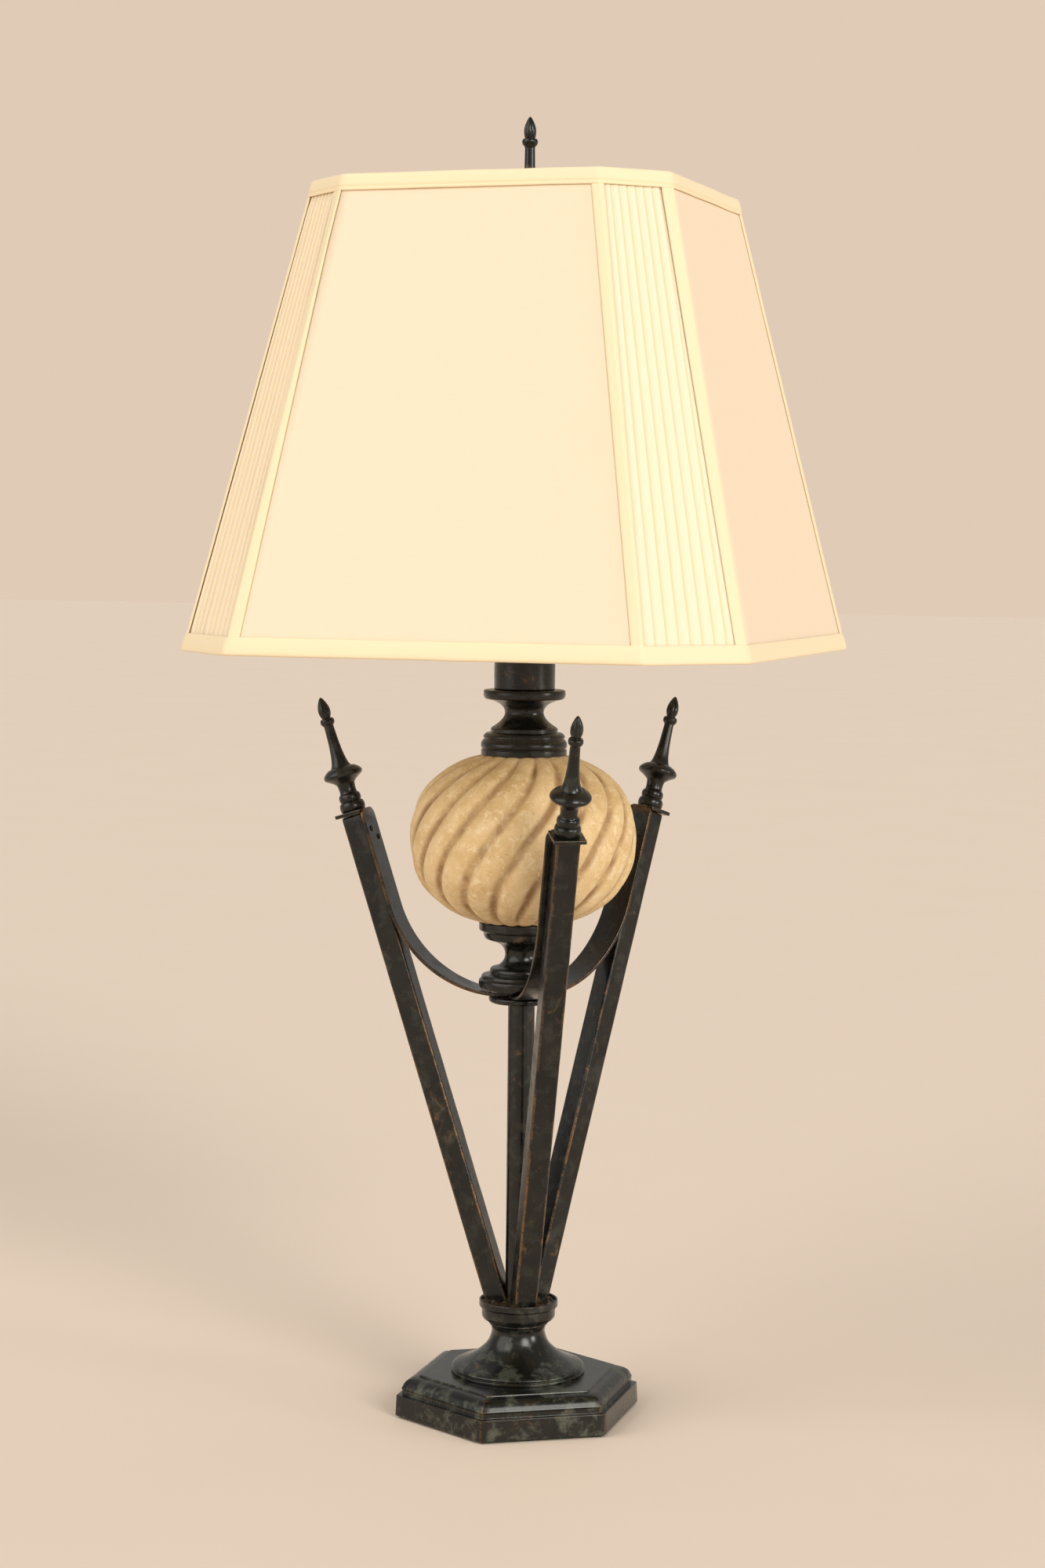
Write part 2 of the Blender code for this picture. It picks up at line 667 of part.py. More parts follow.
def make_arm_plates():
    """Square caps under the arm finials, cut flush on the strap's side."""
    low = PLATE_BOTTOM
    mesh = block_mesh("arm_plate", (-ARM_HALF, -PLATE_SIZE / 2, low),
                      (PLATE_SIZE / 2, PLATE_SIZE / 2, PLATE_TOP), bevel=0.0009, segments=1)
    plate = add_cutter("arm_plate_pattern", mesh)
    hole = FINIAL_STUD_RADIUS + GAP
    boolean(plate, rod_cutter("stud_hole", hole, (0, 0, low - 0.01), (0, 0, low + 0.02)))
    made = evaluated_mesh(plate, "arm_plate")
    made.transform(arm_frame())
    bpy.data.objects.remove(plate, do_unlink=True)
    repeat_round("arm_plate", made, "bronze")


def arm_finial_profile():
    """From the bud's tip down to the stud, heights above the plate."""
    return [
        (0, 0.1130), (0.0048, 0.1055), (0.0062, 0.0990), (0.0044, 0.0915), (0.0070, 0.0905),
        (0.0070, 0.0850), (0.0041, 0.0838), (0.0056, 0.0560), (0.0076, 0.0440), (0.0180, 0.0398),
        (0.0190, 0.0370), (0.0180, 0.0340), (0.0086, 0.0290), (0.0082, 0.0150), (0.0103, 0.0138),
        (0.0103, 0.0090), (0.0119, 0.0068), (0.0119, 0), (FINIAL_STUD_RADIUS, 0),
        (FINIAL_STUD_RADIUS, -FINIAL_STUD_LENGTH), (0, -FINIAL_STUD_LENGTH),
    ]


def make_arm_finials():
    pattern = turned("finial_pattern", arm_finial_profile(), None, steps=12, closed=False,
                     collection=cutters)
    mesh = evaluated_mesh(pattern, "arm_finial")
    bpy.data.objects.remove(pattern, do_unlink=True)
    mesh.transform(arm_frame(PLATE_TOP + GAP))
    repeat_round("arm_finial", mesh, "bronze")


# ---------------------------------------------------------------- straps and rivets
def strap_mesh():
    """A flat bar bent along the strap's path, with its upper corners rounded."""
    path = strap_path()
    half_width = STRAP_WIDTH / 2
    half_thickness = STRAP_THICKNESS / 2
    directions = []
    for index, point in enumerate(path):
        before = path[max(index - 1, 0)]
        after = path[min(index + 1, len(path) - 1)]
        directions.append((Vector(after) - Vector(before)).normalized())
    # the corner rounding is drawn by narrowing the bar along an arc at its top
    stations = []
    for step in (0, 1, 2, 3):
        angle = math.pi / 2 * step / 3
        along = STRAP_END_RADIUS * (1 - math.cos(angle))
        narrowing = STRAP_END_RADIUS * (1 - math.sin(angle))
        start = Vector(path[0]) + directions[0] * along
        stations.append((start, directions[0], half_width - narrowing))
    for point, direction in zip(path[1:], directions[1:]):
        stations.append((Vector(point), direction, half_width))
    shape = bmesh.new()
    rings = []
    for point, direction, half in stations:
        normal = Vector((-direction.y, direction.x)) * half_thickness
        corners = []
        for side, face in ((-1, -1), (1, -1), (1, 1), (-1, 1)):
            place = point + normal * face
            corners.append(shape.verts.new((place.x, side * half, place.y)))
        rings.append(corners)
    for ring, following in zip(rings, rings[1:]):
        for index in range(4):
            other = (index + 1) % 4
            shape.faces.new((ring[index], ring[other], following[other], following[index]))
    shape.faces.new(rings[0])
    shape.faces.new(rings[-1])
    return mesh_from(shape, "strap")


def make_straps():
    strap = add_cutter("strap_pattern", strap_mesh())
    for number, (across, along) in enumerate(RIVET_PLACES):
        line = rivet_line(across, along, ARM_HALF - 0.002, ARM_HALF + 0.010)
        boolean(strap, rod_cutter(f"strap_hole_{number}", RIVET_RADIUS + GAP, *line, steps=HOLE_STEPS))
    mesh = evaluated_mesh(strap, "strap")
    bpy.data.objects.remove(strap, do_unlink=True)
    repeat_round("strap", mesh, "bronze")


def make_rivets():
    head_foot = ARM_HALF + GAP + STRAP_THICKNESS + GAP
    tail = ARM_HALF - ARM_WALL - 0.0015
    crown = RIVET_HEAD_HEIGHT
    profile = [
        (0, crown), (RIVET_HEAD_RADIUS * 0.45, crown * 0.9), (RIVET_HEAD_RADIUS * 0.8, crown * 0.6),
        (RIVET_HEAD_RADIUS, 0), (RIVET_RADIUS, 0), (RIVET_RADIUS, tail - head_foot), (0, tail - head_foot),
    ]
    pattern = turned("rivet_pattern", profile, None, steps=HOLE_STEPS, closed=False, collection=cutters)
    plain = evaluated_mesh(pattern, "rivet")
    bpy.data.objects.remove(pattern, do_unlink=True)
    for number, (across, along) in enumerate(RIVET_PLACES):
        mesh = plain.copy()
        place, ahead = rivet_line(across, along, head_foot, head_foot + 0.01)
        facing = (ahead - place).to_track_quat("Z", "Y").to_matrix().to_4x4()
        mesh.transform(Matrix.Translation(place) @ facing)
        repeat_round(f"rivet_{'ab'[number]}", mesh, "bronze")


# ---------------------------------------------------------------- orb and its fittings
def make_strap_disc():
    radius = DISC_RADIUS
    turned("strap_disc", [
        (STEM_BORE, DISC_TOP), (radius - 0.0006, DISC_TOP), (radius, DISC_TOP - 0.0016),
        (radius, DISC_TOP - 0.0040), (radius - 0.0021, DISC_BOTTOM), (STEM_BORE, DISC_BOTTOM),
    ], "bronze")


def make_seat():
    rim = SEAT_RADIUS
    waist = SEAT_WAIST_RADIUS
    foot = SEAT_BOTTOM
    top = ORB_CENTRE - orb_height(rim) - GAP
    dish = [(radius, ORB_CENTRE - orb_height(radius) - GAP) for radius in (0.0150, 0.0250, 0.0330, 0.0390)]
    profile = [(STEM_BORE, dish[0][1]), *dish]
    profile += [
        (rim, top - 0.0008), (rim, top - 0.0080), (rim - 0.0024, top - 0.0095),
        (rim - 0.0046, top - 0.0110),
        (rim - 0.0048, top - 0.0140), (rim - 0.0105, top - 0.0175), (waist + 0.0052, top - 0.0215),
        (waist + 0.0010, top - 0.0270), (waist, top - 0.0315), (waist + 0.0014, foot + 0.0308),
        (waist + 0.0063, foot + 0.0258), (waist + 0.0133, foot + 0.0228), (waist + 0.0148, foot + 0.0188),
        (rim - 0.0033, foot + 0.0170), (rim - 0.0020, foot + 0.0138), (rim, foot + 0.0083),
        (rim - 0.0010, foot + 0.0055), (rim - 0.0070, foot + 0.0040), (waist + 0.0060, foot),
        (STEM_BORE, foot),
    ]
    turned("orb_seat", profile, "bronze")


def groove_depth(turn, height):
    """How deep the swirled groove is cut at a place on the orb: 0 on a lobe's crown, 1 in a groove."""
    swirl = turn - ORB_TWIST * (height - ORB_CENTRE) / (2 * ORB_HALF_HEIGHT)
    return 1 - abs(math.sin(swirl * ORB_LOBES / 2)) ** 0.8


def make_orb():
    """A hollow turned shell whose outside is cut into swirled lobes."""
    per_lobe = 3
    steps = ORB_LOBES * per_lobe
    rings = 12
    start = math.asin(min(1, (ORB_BORE_RADIUS / ORB_RADIUS) ** (ORB_SQUARENESS / 2)))
    outer = []
    for step in range(rings + 1):
        angle = start + (math.pi - 2 * start) * step / rings
        radius = ORB_RADIUS * math.sin(angle) ** (2 / ORB_SQUARENESS)
        height = math.copysign(abs(math.cos(angle)) ** (2 / ORB_SQUARENESS), math.cos(angle))
        outer.append((radius, ORB_CENTRE + ORB_HALF_HEIGHT * height))
    inner_rings = 4
    inner = []
    for step in range(inner_rings + 1):
        angle = math.pi - start - (math.pi - 2 * start) * step / inner_rings
        shrink = (ORB_RADIUS - ORB_WALL) / ORB_RADIUS
        radius = ORB_RADIUS * shrink * math.sin(angle) ** (2 / ORB_SQUARENESS)
        height = math.copysign(abs(math.cos(angle)) ** (2 / ORB_SQUARENESS), math.cos(angle))
        inner.append((max(radius, ORB_BORE_RADIUS), ORB_CENTRE + (ORB_HALF_HEIGHT - ORB_WALL) * height))
    mesh = profile_mesh("orb", outer + inner, closed=True)
    shape = bmesh.new()
    shape.from_mesh(mesh)
    bpy.data.meshes.remove(mesh)
    bmesh.ops.spin(shape, geom=shape.verts[:] + shape.edges[:], cent=(0, 0, 0), axis=(0, 0, 1),
                   angle=2 * math.pi, steps=steps, use_merge=True)
    bmesh.ops.remove_doubles(shape, verts=shape.verts, dist=0.00001)
    for corner in shape.verts:
        radius = math.hypot(corner.co.x, corner.co.y)
        height = abs(corner.co.z - ORB_CENTRE)
        outline = (radius / ORB_RADIUS) ** ORB_SQUARENESS + (height / ORB_HALF_HEIGHT) ** ORB_SQUARENESS
        if outline > 0.95:
            # the outer skin: the grooves fade out towards the two openings
            turn = math.atan2(corner.co.y, corner.co.x)
            fade = max(0, min(1, (radius - ORB_BORE_RADIUS) / 0.030))
            depth = ORB_GROOVE * fade * groove_depth(turn, corner.co.z)
            corner.co.x *= 1 - depth / radius
            corner.co.y *= 1 - depth / radius
    mesh = mesh_from(shape, "orb")
    smooth_round(mesh, 60)
    add_piece("orb", mesh, "stone")


def make_collar():
    rim = COLLAR_RADIUS
    waist = COLLAR_WAIST_RADIUS
    flange = FLANGE_RADIUS
    foot = ORB_CENTRE + orb_height(rim) + GAP
    top = FLANGE_TOP
    profile = [
        (STEM_BORE, top), (flange, top), (flange + 0.0001, top - 0.0040), (flange - 0.0015, top - 0.0085),
        (flange - 0.0080, top - 0.0102), (waist + 0.0055, top - 0.0130), (waist + 0.0010, top - 0.0175),
        (waist, top - 0.0215), (waist + 0.0020, top - 0.0262), (waist + 0.0070, top - 0.0318),
        (waist + 0.0120, top - 0.0360), (waist + 0.0137, top - 0.0385), (waist + 0.0137, top - 0.0405),
        (rim - 0.0045, top - 0.0420), (rim - 0.0022, top - 0.0440), (rim - 0.0026, top - 0.0470),
        (rim - 0.0020, top - 0.0485), (rim + 0.0002, foot + 0.0105), (rim, foot + 0.0070),
        (rim - 0.0010, foot + 0.0058), (rim, foot + 0.0050), (rim, foot),
    ]
    dish = [(radius, ORB_CENTRE + orb_height(radius) + GAP) for radius in (0.0390, 0.0330, 0.0250, 0.0150)]
    profile += dish
    profile.append((STEM_BORE, dish[-1][1]))
    turned("orb_collar", profile, "bronze")


def make_neck():
    profile = ring_profile(NECK_RADIUS - NECK_WALL, NECK_RADIUS, NECK_BOTTOM, NECK_TOP)
    turned("neck_cover", profile, "bronze")
    spigot = NECK_RADIUS - NECK_WALL - GAP
    turned("neck_lid", [
        (STEM_BORE, LID_TOP), (NECK_RADIUS - 0.0010, LID_TOP), (NECK_RADIUS, LID_TOP - 0.0012),
        (NECK_RADIUS, NECK_TOP + GAP), (spigot, NECK_TOP + GAP),
        (spigot, NECK_TOP - LID_SPIGOT), (spigot - LID_WALL, NECK_TOP - LID_SPIGOT),
        (spigot - LID_WALL, NECK_TOP + GAP), (STEM_BORE, NECK_TOP + GAP),
    ], "bronze")


# ---------------------------------------------------------------- harp
def harp_curve():
    """From the left foot over the top to the right foot, upright where the sleeves slide."""
    foot = POST_TOP + GAP
    shoulder = HARP_SHOULDER
    rise = HARP_TOP - shoulder
    points = [Vector((-HARP_FOOT_SPREAD, 0, foot))]
    count = 18
    for step in range(count + 1):
        share = step / count
        # the leg bows out from the foot, then arches over and comes in flat at the top
        angle = math.pi * share
        bow = math.sin(min(angle * 2, math.pi) / 2) ** 1.6 if share < 0.5 else 1
        arch = math.sqrt(max(0, 1 - share ** 4.2))
        x = (HARP_FOOT_SPREAD + (HARP_HALF_WIDTH - HARP_FOOT_SPREAD) * bow) * arch
        points.append(Vector((-x, 0, shoulder + rise * (1 - (1 - share) ** 1.25))))
    right = [Vector((-point.x, 0, point.z)) for point in reversed(points[:-1])]
    return points + right


def make_harp():
    add_piece("harp", wire_mesh("harp", harp_curve(), HARP_WIRE_RADIUS), "brass")
    turned("harp_stud", [
        (0, BOSS_TOP + HARP_STUD_LENGTH), (HARP_STUD_RADIUS, BOSS_TOP + HARP_STUD_LENGTH),
        (HARP_STUD_RADIUS, BOSS_TOP), (BOSS_RADIUS, BOSS_TOP), (BOSS_RADIUS, BOSS_BOTTOM),
        (0, BOSS_BOTTOM),
    ], "brass", steps=SMALL_STEPS, closed=False)


def make_saddle():
    """A flat strap under the socket with an upright post at each end for the harp's feet."""
    half = SADDLE_WIDTH / 2
    end = HARP_FOOT_SPREAD + HARP_WIRE_RADIUS + 0.0012
    low = SADDLE_TOP - SADDLE_THICKNESS
    saddle = add_piece("harp_saddle", block_mesh("harp_saddle", (-end, -half, low), (end, half, SADDLE_TOP),
                                                 bevel=0.0006, segments=1), "brass")
    for number, side in enumerate((-1, 1)):
        x = side * HARP_FOOT_SPREAD
        post = rod_cutter(f"saddle_post_{number}", HARP_WIRE_RADIUS, (x, 0, low + 0.0005), (x, 0, POST_TOP))
        boolean(saddle, post, "UNION")
    boolean(saddle, rod_cutter("saddle_hole", STEM_BORE, (0, 0, low - 0.01), (0, 0, SADDLE_TOP + 0.01)))


def make_sleeves():
    bore = HARP_WIRE_RADIUS + GAP
    radius = bore + SLEEVE_WALL
    flange = radius + SLEEVE_FLANGE
    for name, side in (("harp_sleeve_left", -1), ("harp_sleeve_right", 1)):
        sleeve = turned(name, [
            (bore, SLEEVE_LENGTH), (radius - 0.0004, SLEEVE_LENGTH), (radius, SLEEVE_LENGTH - 0.0010),
            (radius, SLEEVE_FLANGE * 3), (flange, SLEEVE_FLANGE * 2), (flange, 0), (bore, 0),
        ], "brass", steps=SMALL_STEPS)
        sleeve.location = (side * HARP_FOOT_SPREAD, 0, SLEEVE_FOOT)


# ---------------------------------------------------------------- socket and bulb
def make_socket():
    cap_top = SOCKET_BOTTOM + SOCKET_CAP_HEIGHT
    radius = SOCKET_RADIUS
    wall = SOCKET_WALL
    slim = radius - SOCKET_STEP
    turned("socket_cap", [
        (radius - wall, cap_top), (radius, cap_top), (radius, cap_top - 0.0055),
        (radius - 0.0016, cap_top - 0.0100),
        (radius - 0.0070, SOCKET_BOTTOM + 0.0030), (0.0085, SOCKET_BOTTOM), (STEM_BORE, SOCKET_BOTTOM),
        (STEM_BORE, SOCKET_BOTTOM + 0.0060), (radius - 0.0050, SOCKET_BOTTOM + 0.0070),
        (radius - wall, cap_top - 0.0050),
    ], "brass")
    shell_top = SHELL_BOTTOM + SOCKET_SHELL_HEIGHT
    shell = turned("socket_shell", [
        (slim - wall, shell_top), (slim, shell_top), (slim, shell_top - 0.0280),
        (radius, shell_top - 0.0300), (radius, SHELL_BOTTOM), (radius - wall, SHELL_BOTTOM),
        (radius - wall, shell_top - 0.0304), (slim - wall, shell_top - 0.0284),
    ], "brass")
    hole = rod_cutter("knob_hole", KNOB_SHAFT_RADIUS + GAP, (0, 0, KNOB_HEIGHT),
                      (0, -radius * 2, KNOB_HEIGHT))
    boolean(shell, hole)
    core_radius = slim - wall - GAP
    cavity = BULB_CAP_RADIUS + GAP
    # the insulating core holds the switch below and the bulb's cap above
    core = turned("socket_core", [
        (0, CORE_TOP), (cavity, CORE_TOP), (cavity, shell_top - 0.0040), (core_radius, shell_top - 0.0040),
        (core_radius, SHELL_BOTTOM + 0.0010), (0, SHELL_BOTTOM + 0.0010),
    ], "porcelain", steps=16, closed=False)
    well = rod_cutter("knob_well", KNOB_SHAFT_RADIUS + GAP, (0, -KNOB_WELL_END, KNOB_HEIGHT),
                      (0, -radius * 2, KNOB_HEIGHT))
    boolean(core, well)


def make_knob():
    """A turn knob on a horizontal shaft that faces the front."""
    start = SOCKET_RADIUS + KNOB_REACH
    end = start + KNOB_LENGTH
    knob = turned("switch_knob", [
        (0, end), (KNOB_RADIUS * 0.7, end), (KNOB_RADIUS, end - 0.0020), (KNOB_RADIUS, start + 0.0040),
        (KNOB_RADIUS * 0.6, start), (KNOB_SHAFT_RADIUS, start),
        (KNOB_SHAFT_RADIUS, KNOB_SHAFT_END), (0, KNOB_SHAFT_END),
    ], "black", steps=12, closed=False)
    knob.location.z = KNOB_HEIGHT
    knob.rotation_euler.x = math.pi / 2


def make_bulb():
    cap_low = CORE_TOP + GAP
    cap_top = cap_low + BULB_CAP_HEIGHT
    neck = BULB_NECK_RADIUS
    turned("bulb_cap", [
        (0, cap_low + 0.0015), (0.0050, cap_low + 0.0020), (neck - 0.0010, cap_low + 0.0070),
        (neck - 0.0010, cap_top), (BULB_CAP_RADIUS, cap_top), (BULB_CAP_RADIUS, cap_low + 0.0060),
        (0.0060, cap_low), (0, cap_low),
    ], "brass", steps=SMALL_STEPS, closed=False)
    foot = cap_top + GAP
    rise = BULB_HEIGHT
    ball = BULB_RADIUS
    wall = 0.0010
    ball_height = foot + rise - ball
    outer = [(ball * math.sin(math.pi * step / 14), ball_height + ball * math.cos(math.pi * step / 14))
             for step in range(10)]
    outer += [(neck + (ball * 0.90 - neck) * 0.35, foot + rise * 0.26), (neck + 0.0010, foot + rise * 0.10),
              (neck, foot)]
    inner = []
    for radius, height in reversed(outer):
        crown = radius < 0.7 * ball and height > ball_height
        inner.append((radius - wall * (radius > 0), height - wall * crown))
    turned("bulb_glass", outer + inner, "glass", steps=16, closed=False)


# ---------------------------------------------------------------- shade
PANEL_NAMES = ("front", "front_right", "right", "back_right", "back", "back_left", "left", "front_left")


def panel_mesh(name, index, low, high, inset, thickness):
    """One side of the shade as a flat slab, mitred at its long edges with a gap to the next."""
    following = (index + 1) % 8
    shape = bmesh.new()
    corners = []
    for depth in (inset, inset + thickness):
        for height in (low, high):
            outline = shade_octagon(height, depth)
            start, end = outline[index], outline[following]
            along = (end - start).normalized() * GAP * 0.6
            corners.append((shape.verts.new(start + along), shape.verts.new(end - along)))
    (a, b), (c, d), (e, f), (g, h) = corners
    for face in ((a, b, d, c), (e, g, h, f), (a, c, g, e), (b, f, h, d), (a, e, f, b), (c, d, h, g)):
        shape.faces.new(face)
    return mesh_from(shape, name)


def make_panels():
    inset = TRIM_THICKNESS + GAP
    for index, side in enumerate(PANEL_NAMES):
        kind = "pleated_corner" if index % 2 else "flat_panel"
        name = f"{kind}_{side}"
        mesh = panel_mesh(name, index, SHADE_BOTTOM + GAP, SHADE_TOP - GAP, inset, PANEL_THICKNESS)
        add_piece(name, mesh, "silk")


def band_mesh(name, low, high, inset, thickness):
    """A closed band round all eight sides of the shade."""
    shape = bmesh.new()
    rings = []
    for height, depth in ((low, inset), (high, inset), (high, inset + thickness), (low, inset + thickness)):
        rings.append([shape.verts.new(point) for point in shade_octagon(height, depth)])
    for ring, following in zip(rings, rings[1:] + rings[:1]):
        for index in range(8):
            other = (index + 1) % 8
            shape.faces.new((ring[index], ring[other], following[other], following[index]))
    return mesh_from(shape, name)


def make_trims():
    top = band_mesh("trim_top", SHADE_TOP - TOP_TRIM_HEIGHT, SHADE_TOP, 0, TRIM_THICKNESS)
    bottom = band_mesh("trim_bottom", SHADE_BOTTOM, SHADE_BOTTOM + BOTTOM_TRIM_HEIGHT, 0, TRIM_THICKNESS)
    add_piece("trim_top", top, "silk")
    add_piece("trim_bottom", bottom, "silk")


def frame_inset():
    """From the shade's outer face to the middle of the frame's wires."""
    return TRIM_THICKNESS + GAP + PANEL_THICKNESS + GAP + FRAME_WIRE_RADIUS


def make_shade_frame():
    """Two eight-sided rings joined by a rib at every corner."""
    high = SHADE_TOP - RING_INSET
    low = SHADE_BOTTOM + RING_INSET
    tops = shade_octagon(high, frame_inset())
    bottoms = shade_octagon(low, frame_inset())
    top_ring = wire_mesh("ring_top", tops, FRAME_WIRE_RADIUS, cyclic=True, resolution=1)
    bottom_ring = wire_mesh("ring_bottom", bottoms, FRAME_WIRE_RADIUS, cyclic=True, resolution=1)
    frame = add_piece("shade_frame", joined((top_ring, bottom_ring), "shade_frame"), "white_wire")
    rib_radius = FRAME_WIRE_RADIUS * 0.85
    ribs = [wire_mesh(f"rib_{index}", (low_end, high_end), rib_radius, resolution=1)
            for index, (low_end, high_end) in enumerate(zip(bottoms, tops))]
    boolean(frame, add_cutter("shade_ribs", joined(ribs, "shade_ribs")), "UNION")


def make_spider():
    """A hub washer on the harp's stud, with four drop arms out to the top ring."""
    bore = HARP_STUD_RADIUS + GAP
    hub = turned("shade_spider", ring_profile(bore, SPIDER_HUB_RADIUS, HUB_BOTTOM, HUB_TOP), "white_wire",
                 steps=16)
    middle = HUB_TOP - SPIDER_WIRE_RADIUS - 0.0001
    ring_height = SHADE_TOP - RING_INSET
    outline = shade_octagon(ring_height, frame_inset())
    arms = []
    for index in (0, 2, 4, 6):
        edge = (outline[index] + outline[index + 1]) / 2
        away = Vector((edge.x, edge.y, 0)).normalized()
        reach = Vector((edge.x, edge.y, 0)).length - FRAME_WIRE_RADIUS - GAP
        inner = away * (SPIDER_HUB_RADIUS - 0.0030)
        points = [
            Vector((inner.x, inner.y, middle)),
            Vector((away.x * reach * 0.80, away.y * reach * 0.80, middle)),
            Vector((away.x * reach * 0.93, away.y * reach * 0.93, ring_height)),
            Vector((away.x * reach, away.y * reach, ring_height)),
        ]
        arms.append(wire_mesh(f"spider_arm_{index}", points, SPIDER_WIRE_RADIUS, resolution=1))
    boolean(hub, add_cutter("spider_arms", joined(arms, "spider_arms")), "UNION")


def make_top_finial():
    tip = OVERALL_HEIGHT
    bore = HARP_STUD_RADIUS + GAP
    bore_top = BOSS_TOP + HARP_STUD_LENGTH + 0.0015
    foot = FINIAL_BOTTOM
    turned("top_finial", [
        (0, tip), (0.0020, tip - 0.0015), (0.0045, tip - 0.0065), (0.0059, tip - 0.0120),
        (0.0052, tip - 0.0170), (0.0040, tip - 0.0194), (0.0070, tip - 0.0200), (0.0075, tip - 0.0215),
        (0.0075, tip - 0.0252), (0.0066, tip - 0.0271), (0.0051, tip - 0.0280), (0.0051, foot + 0.0160),
        (0.0060, foot + 0.0110), (0.0105, foot + 0.0075), (0.0115, foot + 0.0050), (0.0115, foot + 0.0008),
        (0.0107, foot), (bore, foot), (bore, bore_top), (0, bore_top),
    ], "bronze", steps=SMALL_STEPS, closed=False)


# ---------------------------------------------------------------- build
def build():
    clear_scene()
    make_felt()
    make_plinth()
    make_bushing()
    make_weight()
    make_washer()
    make_nut("base_lock_nut", NUT_TOP, "steel")
    make_rod()
    make_pedestal()
    make_cup()
    make_column()
    make_arms()
    make_arm_plates()
    make_arm_finials()
    make_straps()
    make_rivets()
    make_strap_disc()
    make_seat()
    make_orb()
    make_collar()
    make_neck()
    make_nut("rod_top_nut", TOP_NUT_TOP, "brass")
    make_saddle()
    make_harp()
    make_sleeves()
    make_socket()
    make_knob()
    make_bulb()
    make_shade_frame()
    make_spider()
    make_panels()
    make_trims()
    make_top_finial()


build()
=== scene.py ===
"""Looks of a tripod table lamp: patinated bronze arms and turned stem round a carved stone orb, under
a cut-corner shade of silk with pleated corners. Metres, +Z up, the shade's front panel faces -Y."""

import math

import bmesh
import bpy
from mathutils import Matrix, Vector, noise


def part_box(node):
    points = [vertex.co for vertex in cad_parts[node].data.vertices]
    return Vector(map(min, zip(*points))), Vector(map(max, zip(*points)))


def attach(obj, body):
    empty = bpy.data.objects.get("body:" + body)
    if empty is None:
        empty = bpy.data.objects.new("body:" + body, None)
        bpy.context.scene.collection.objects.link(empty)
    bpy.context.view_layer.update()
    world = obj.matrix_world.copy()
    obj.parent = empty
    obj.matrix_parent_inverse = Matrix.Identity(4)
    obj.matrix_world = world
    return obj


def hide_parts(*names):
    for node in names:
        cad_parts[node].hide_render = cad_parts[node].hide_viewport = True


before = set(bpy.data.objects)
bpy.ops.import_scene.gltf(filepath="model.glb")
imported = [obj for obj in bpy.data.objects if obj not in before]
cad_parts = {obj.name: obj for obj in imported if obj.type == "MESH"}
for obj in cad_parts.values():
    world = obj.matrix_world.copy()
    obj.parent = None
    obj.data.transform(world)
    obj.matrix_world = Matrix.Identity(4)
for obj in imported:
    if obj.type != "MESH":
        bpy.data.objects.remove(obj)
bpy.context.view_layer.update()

MM = 0.001
SAME_SPOT = 0.000004             # corners of a mesh closer together than this become one
AS_FAR = 99.0                    # a rounding that reaches as far as its neighbours leave room, mm
RIVETS_A_ARM = ("a", "b")
ARMS = (1, 2, 3)
ARM_LEAN = math.radians(17.95)
FIRST_ARM_AZIMUTH = math.radians(31.5)    # azimuths run from -Y towards +X
PLINTH_SIDES = 6
PLINTH_RADIUS = 119.0            # out to the corners of its fascia, mm
BORE = 5.1                       # the stem's bore, mm
BUD_PETALS = 6
PETAL_DEPTH = 0.13               # as a share of the bud's radius


def low(node):
    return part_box(node)[0]


def high(node):
    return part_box(node)[1]


# ---------------------------------------------------------------- materials
class Wire:
    """A socket in a material. Sums on it add Math nodes, so that a formula reads as it is written."""

    def __init__(self, finish, socket):
        self.finish = finish
        self.socket = socket

    def sum(self, operation, *values):
        settings = {"operation": operation}
        return self.finish.node("ShaderNodeMath", settings, dict(enumerate(values)))

    def __add__(self, other):
        return self.sum("ADD", self, other)

    def __radd__(self, other):
        return self.sum("ADD", other, self)

    def __sub__(self, other):
        return self.sum("SUBTRACT", self, other)

    def __rsub__(self, other):
        return self.sum("SUBTRACT", other, self)

    def __mul__(self, other):
        return self.sum("MULTIPLY", self, other)

    def __rmul__(self, other):
        return self.sum("MULTIPLY", other, self)

    def most(self, other):
        return self.sum("MAXIMUM", self, other)

    def least(self, other):
        return self.sum("MINIMUM", self, other)

    def step(self, start, end):
        """0 below start, 1 above end, and a soft rise between them."""
        settings = {"interpolation_type": "SMOOTHSTEP"}
        inputs = {"Value": self, "From Min": start, "From Max": end}
        return self.finish.node("ShaderNodeMapRange", settings, inputs)


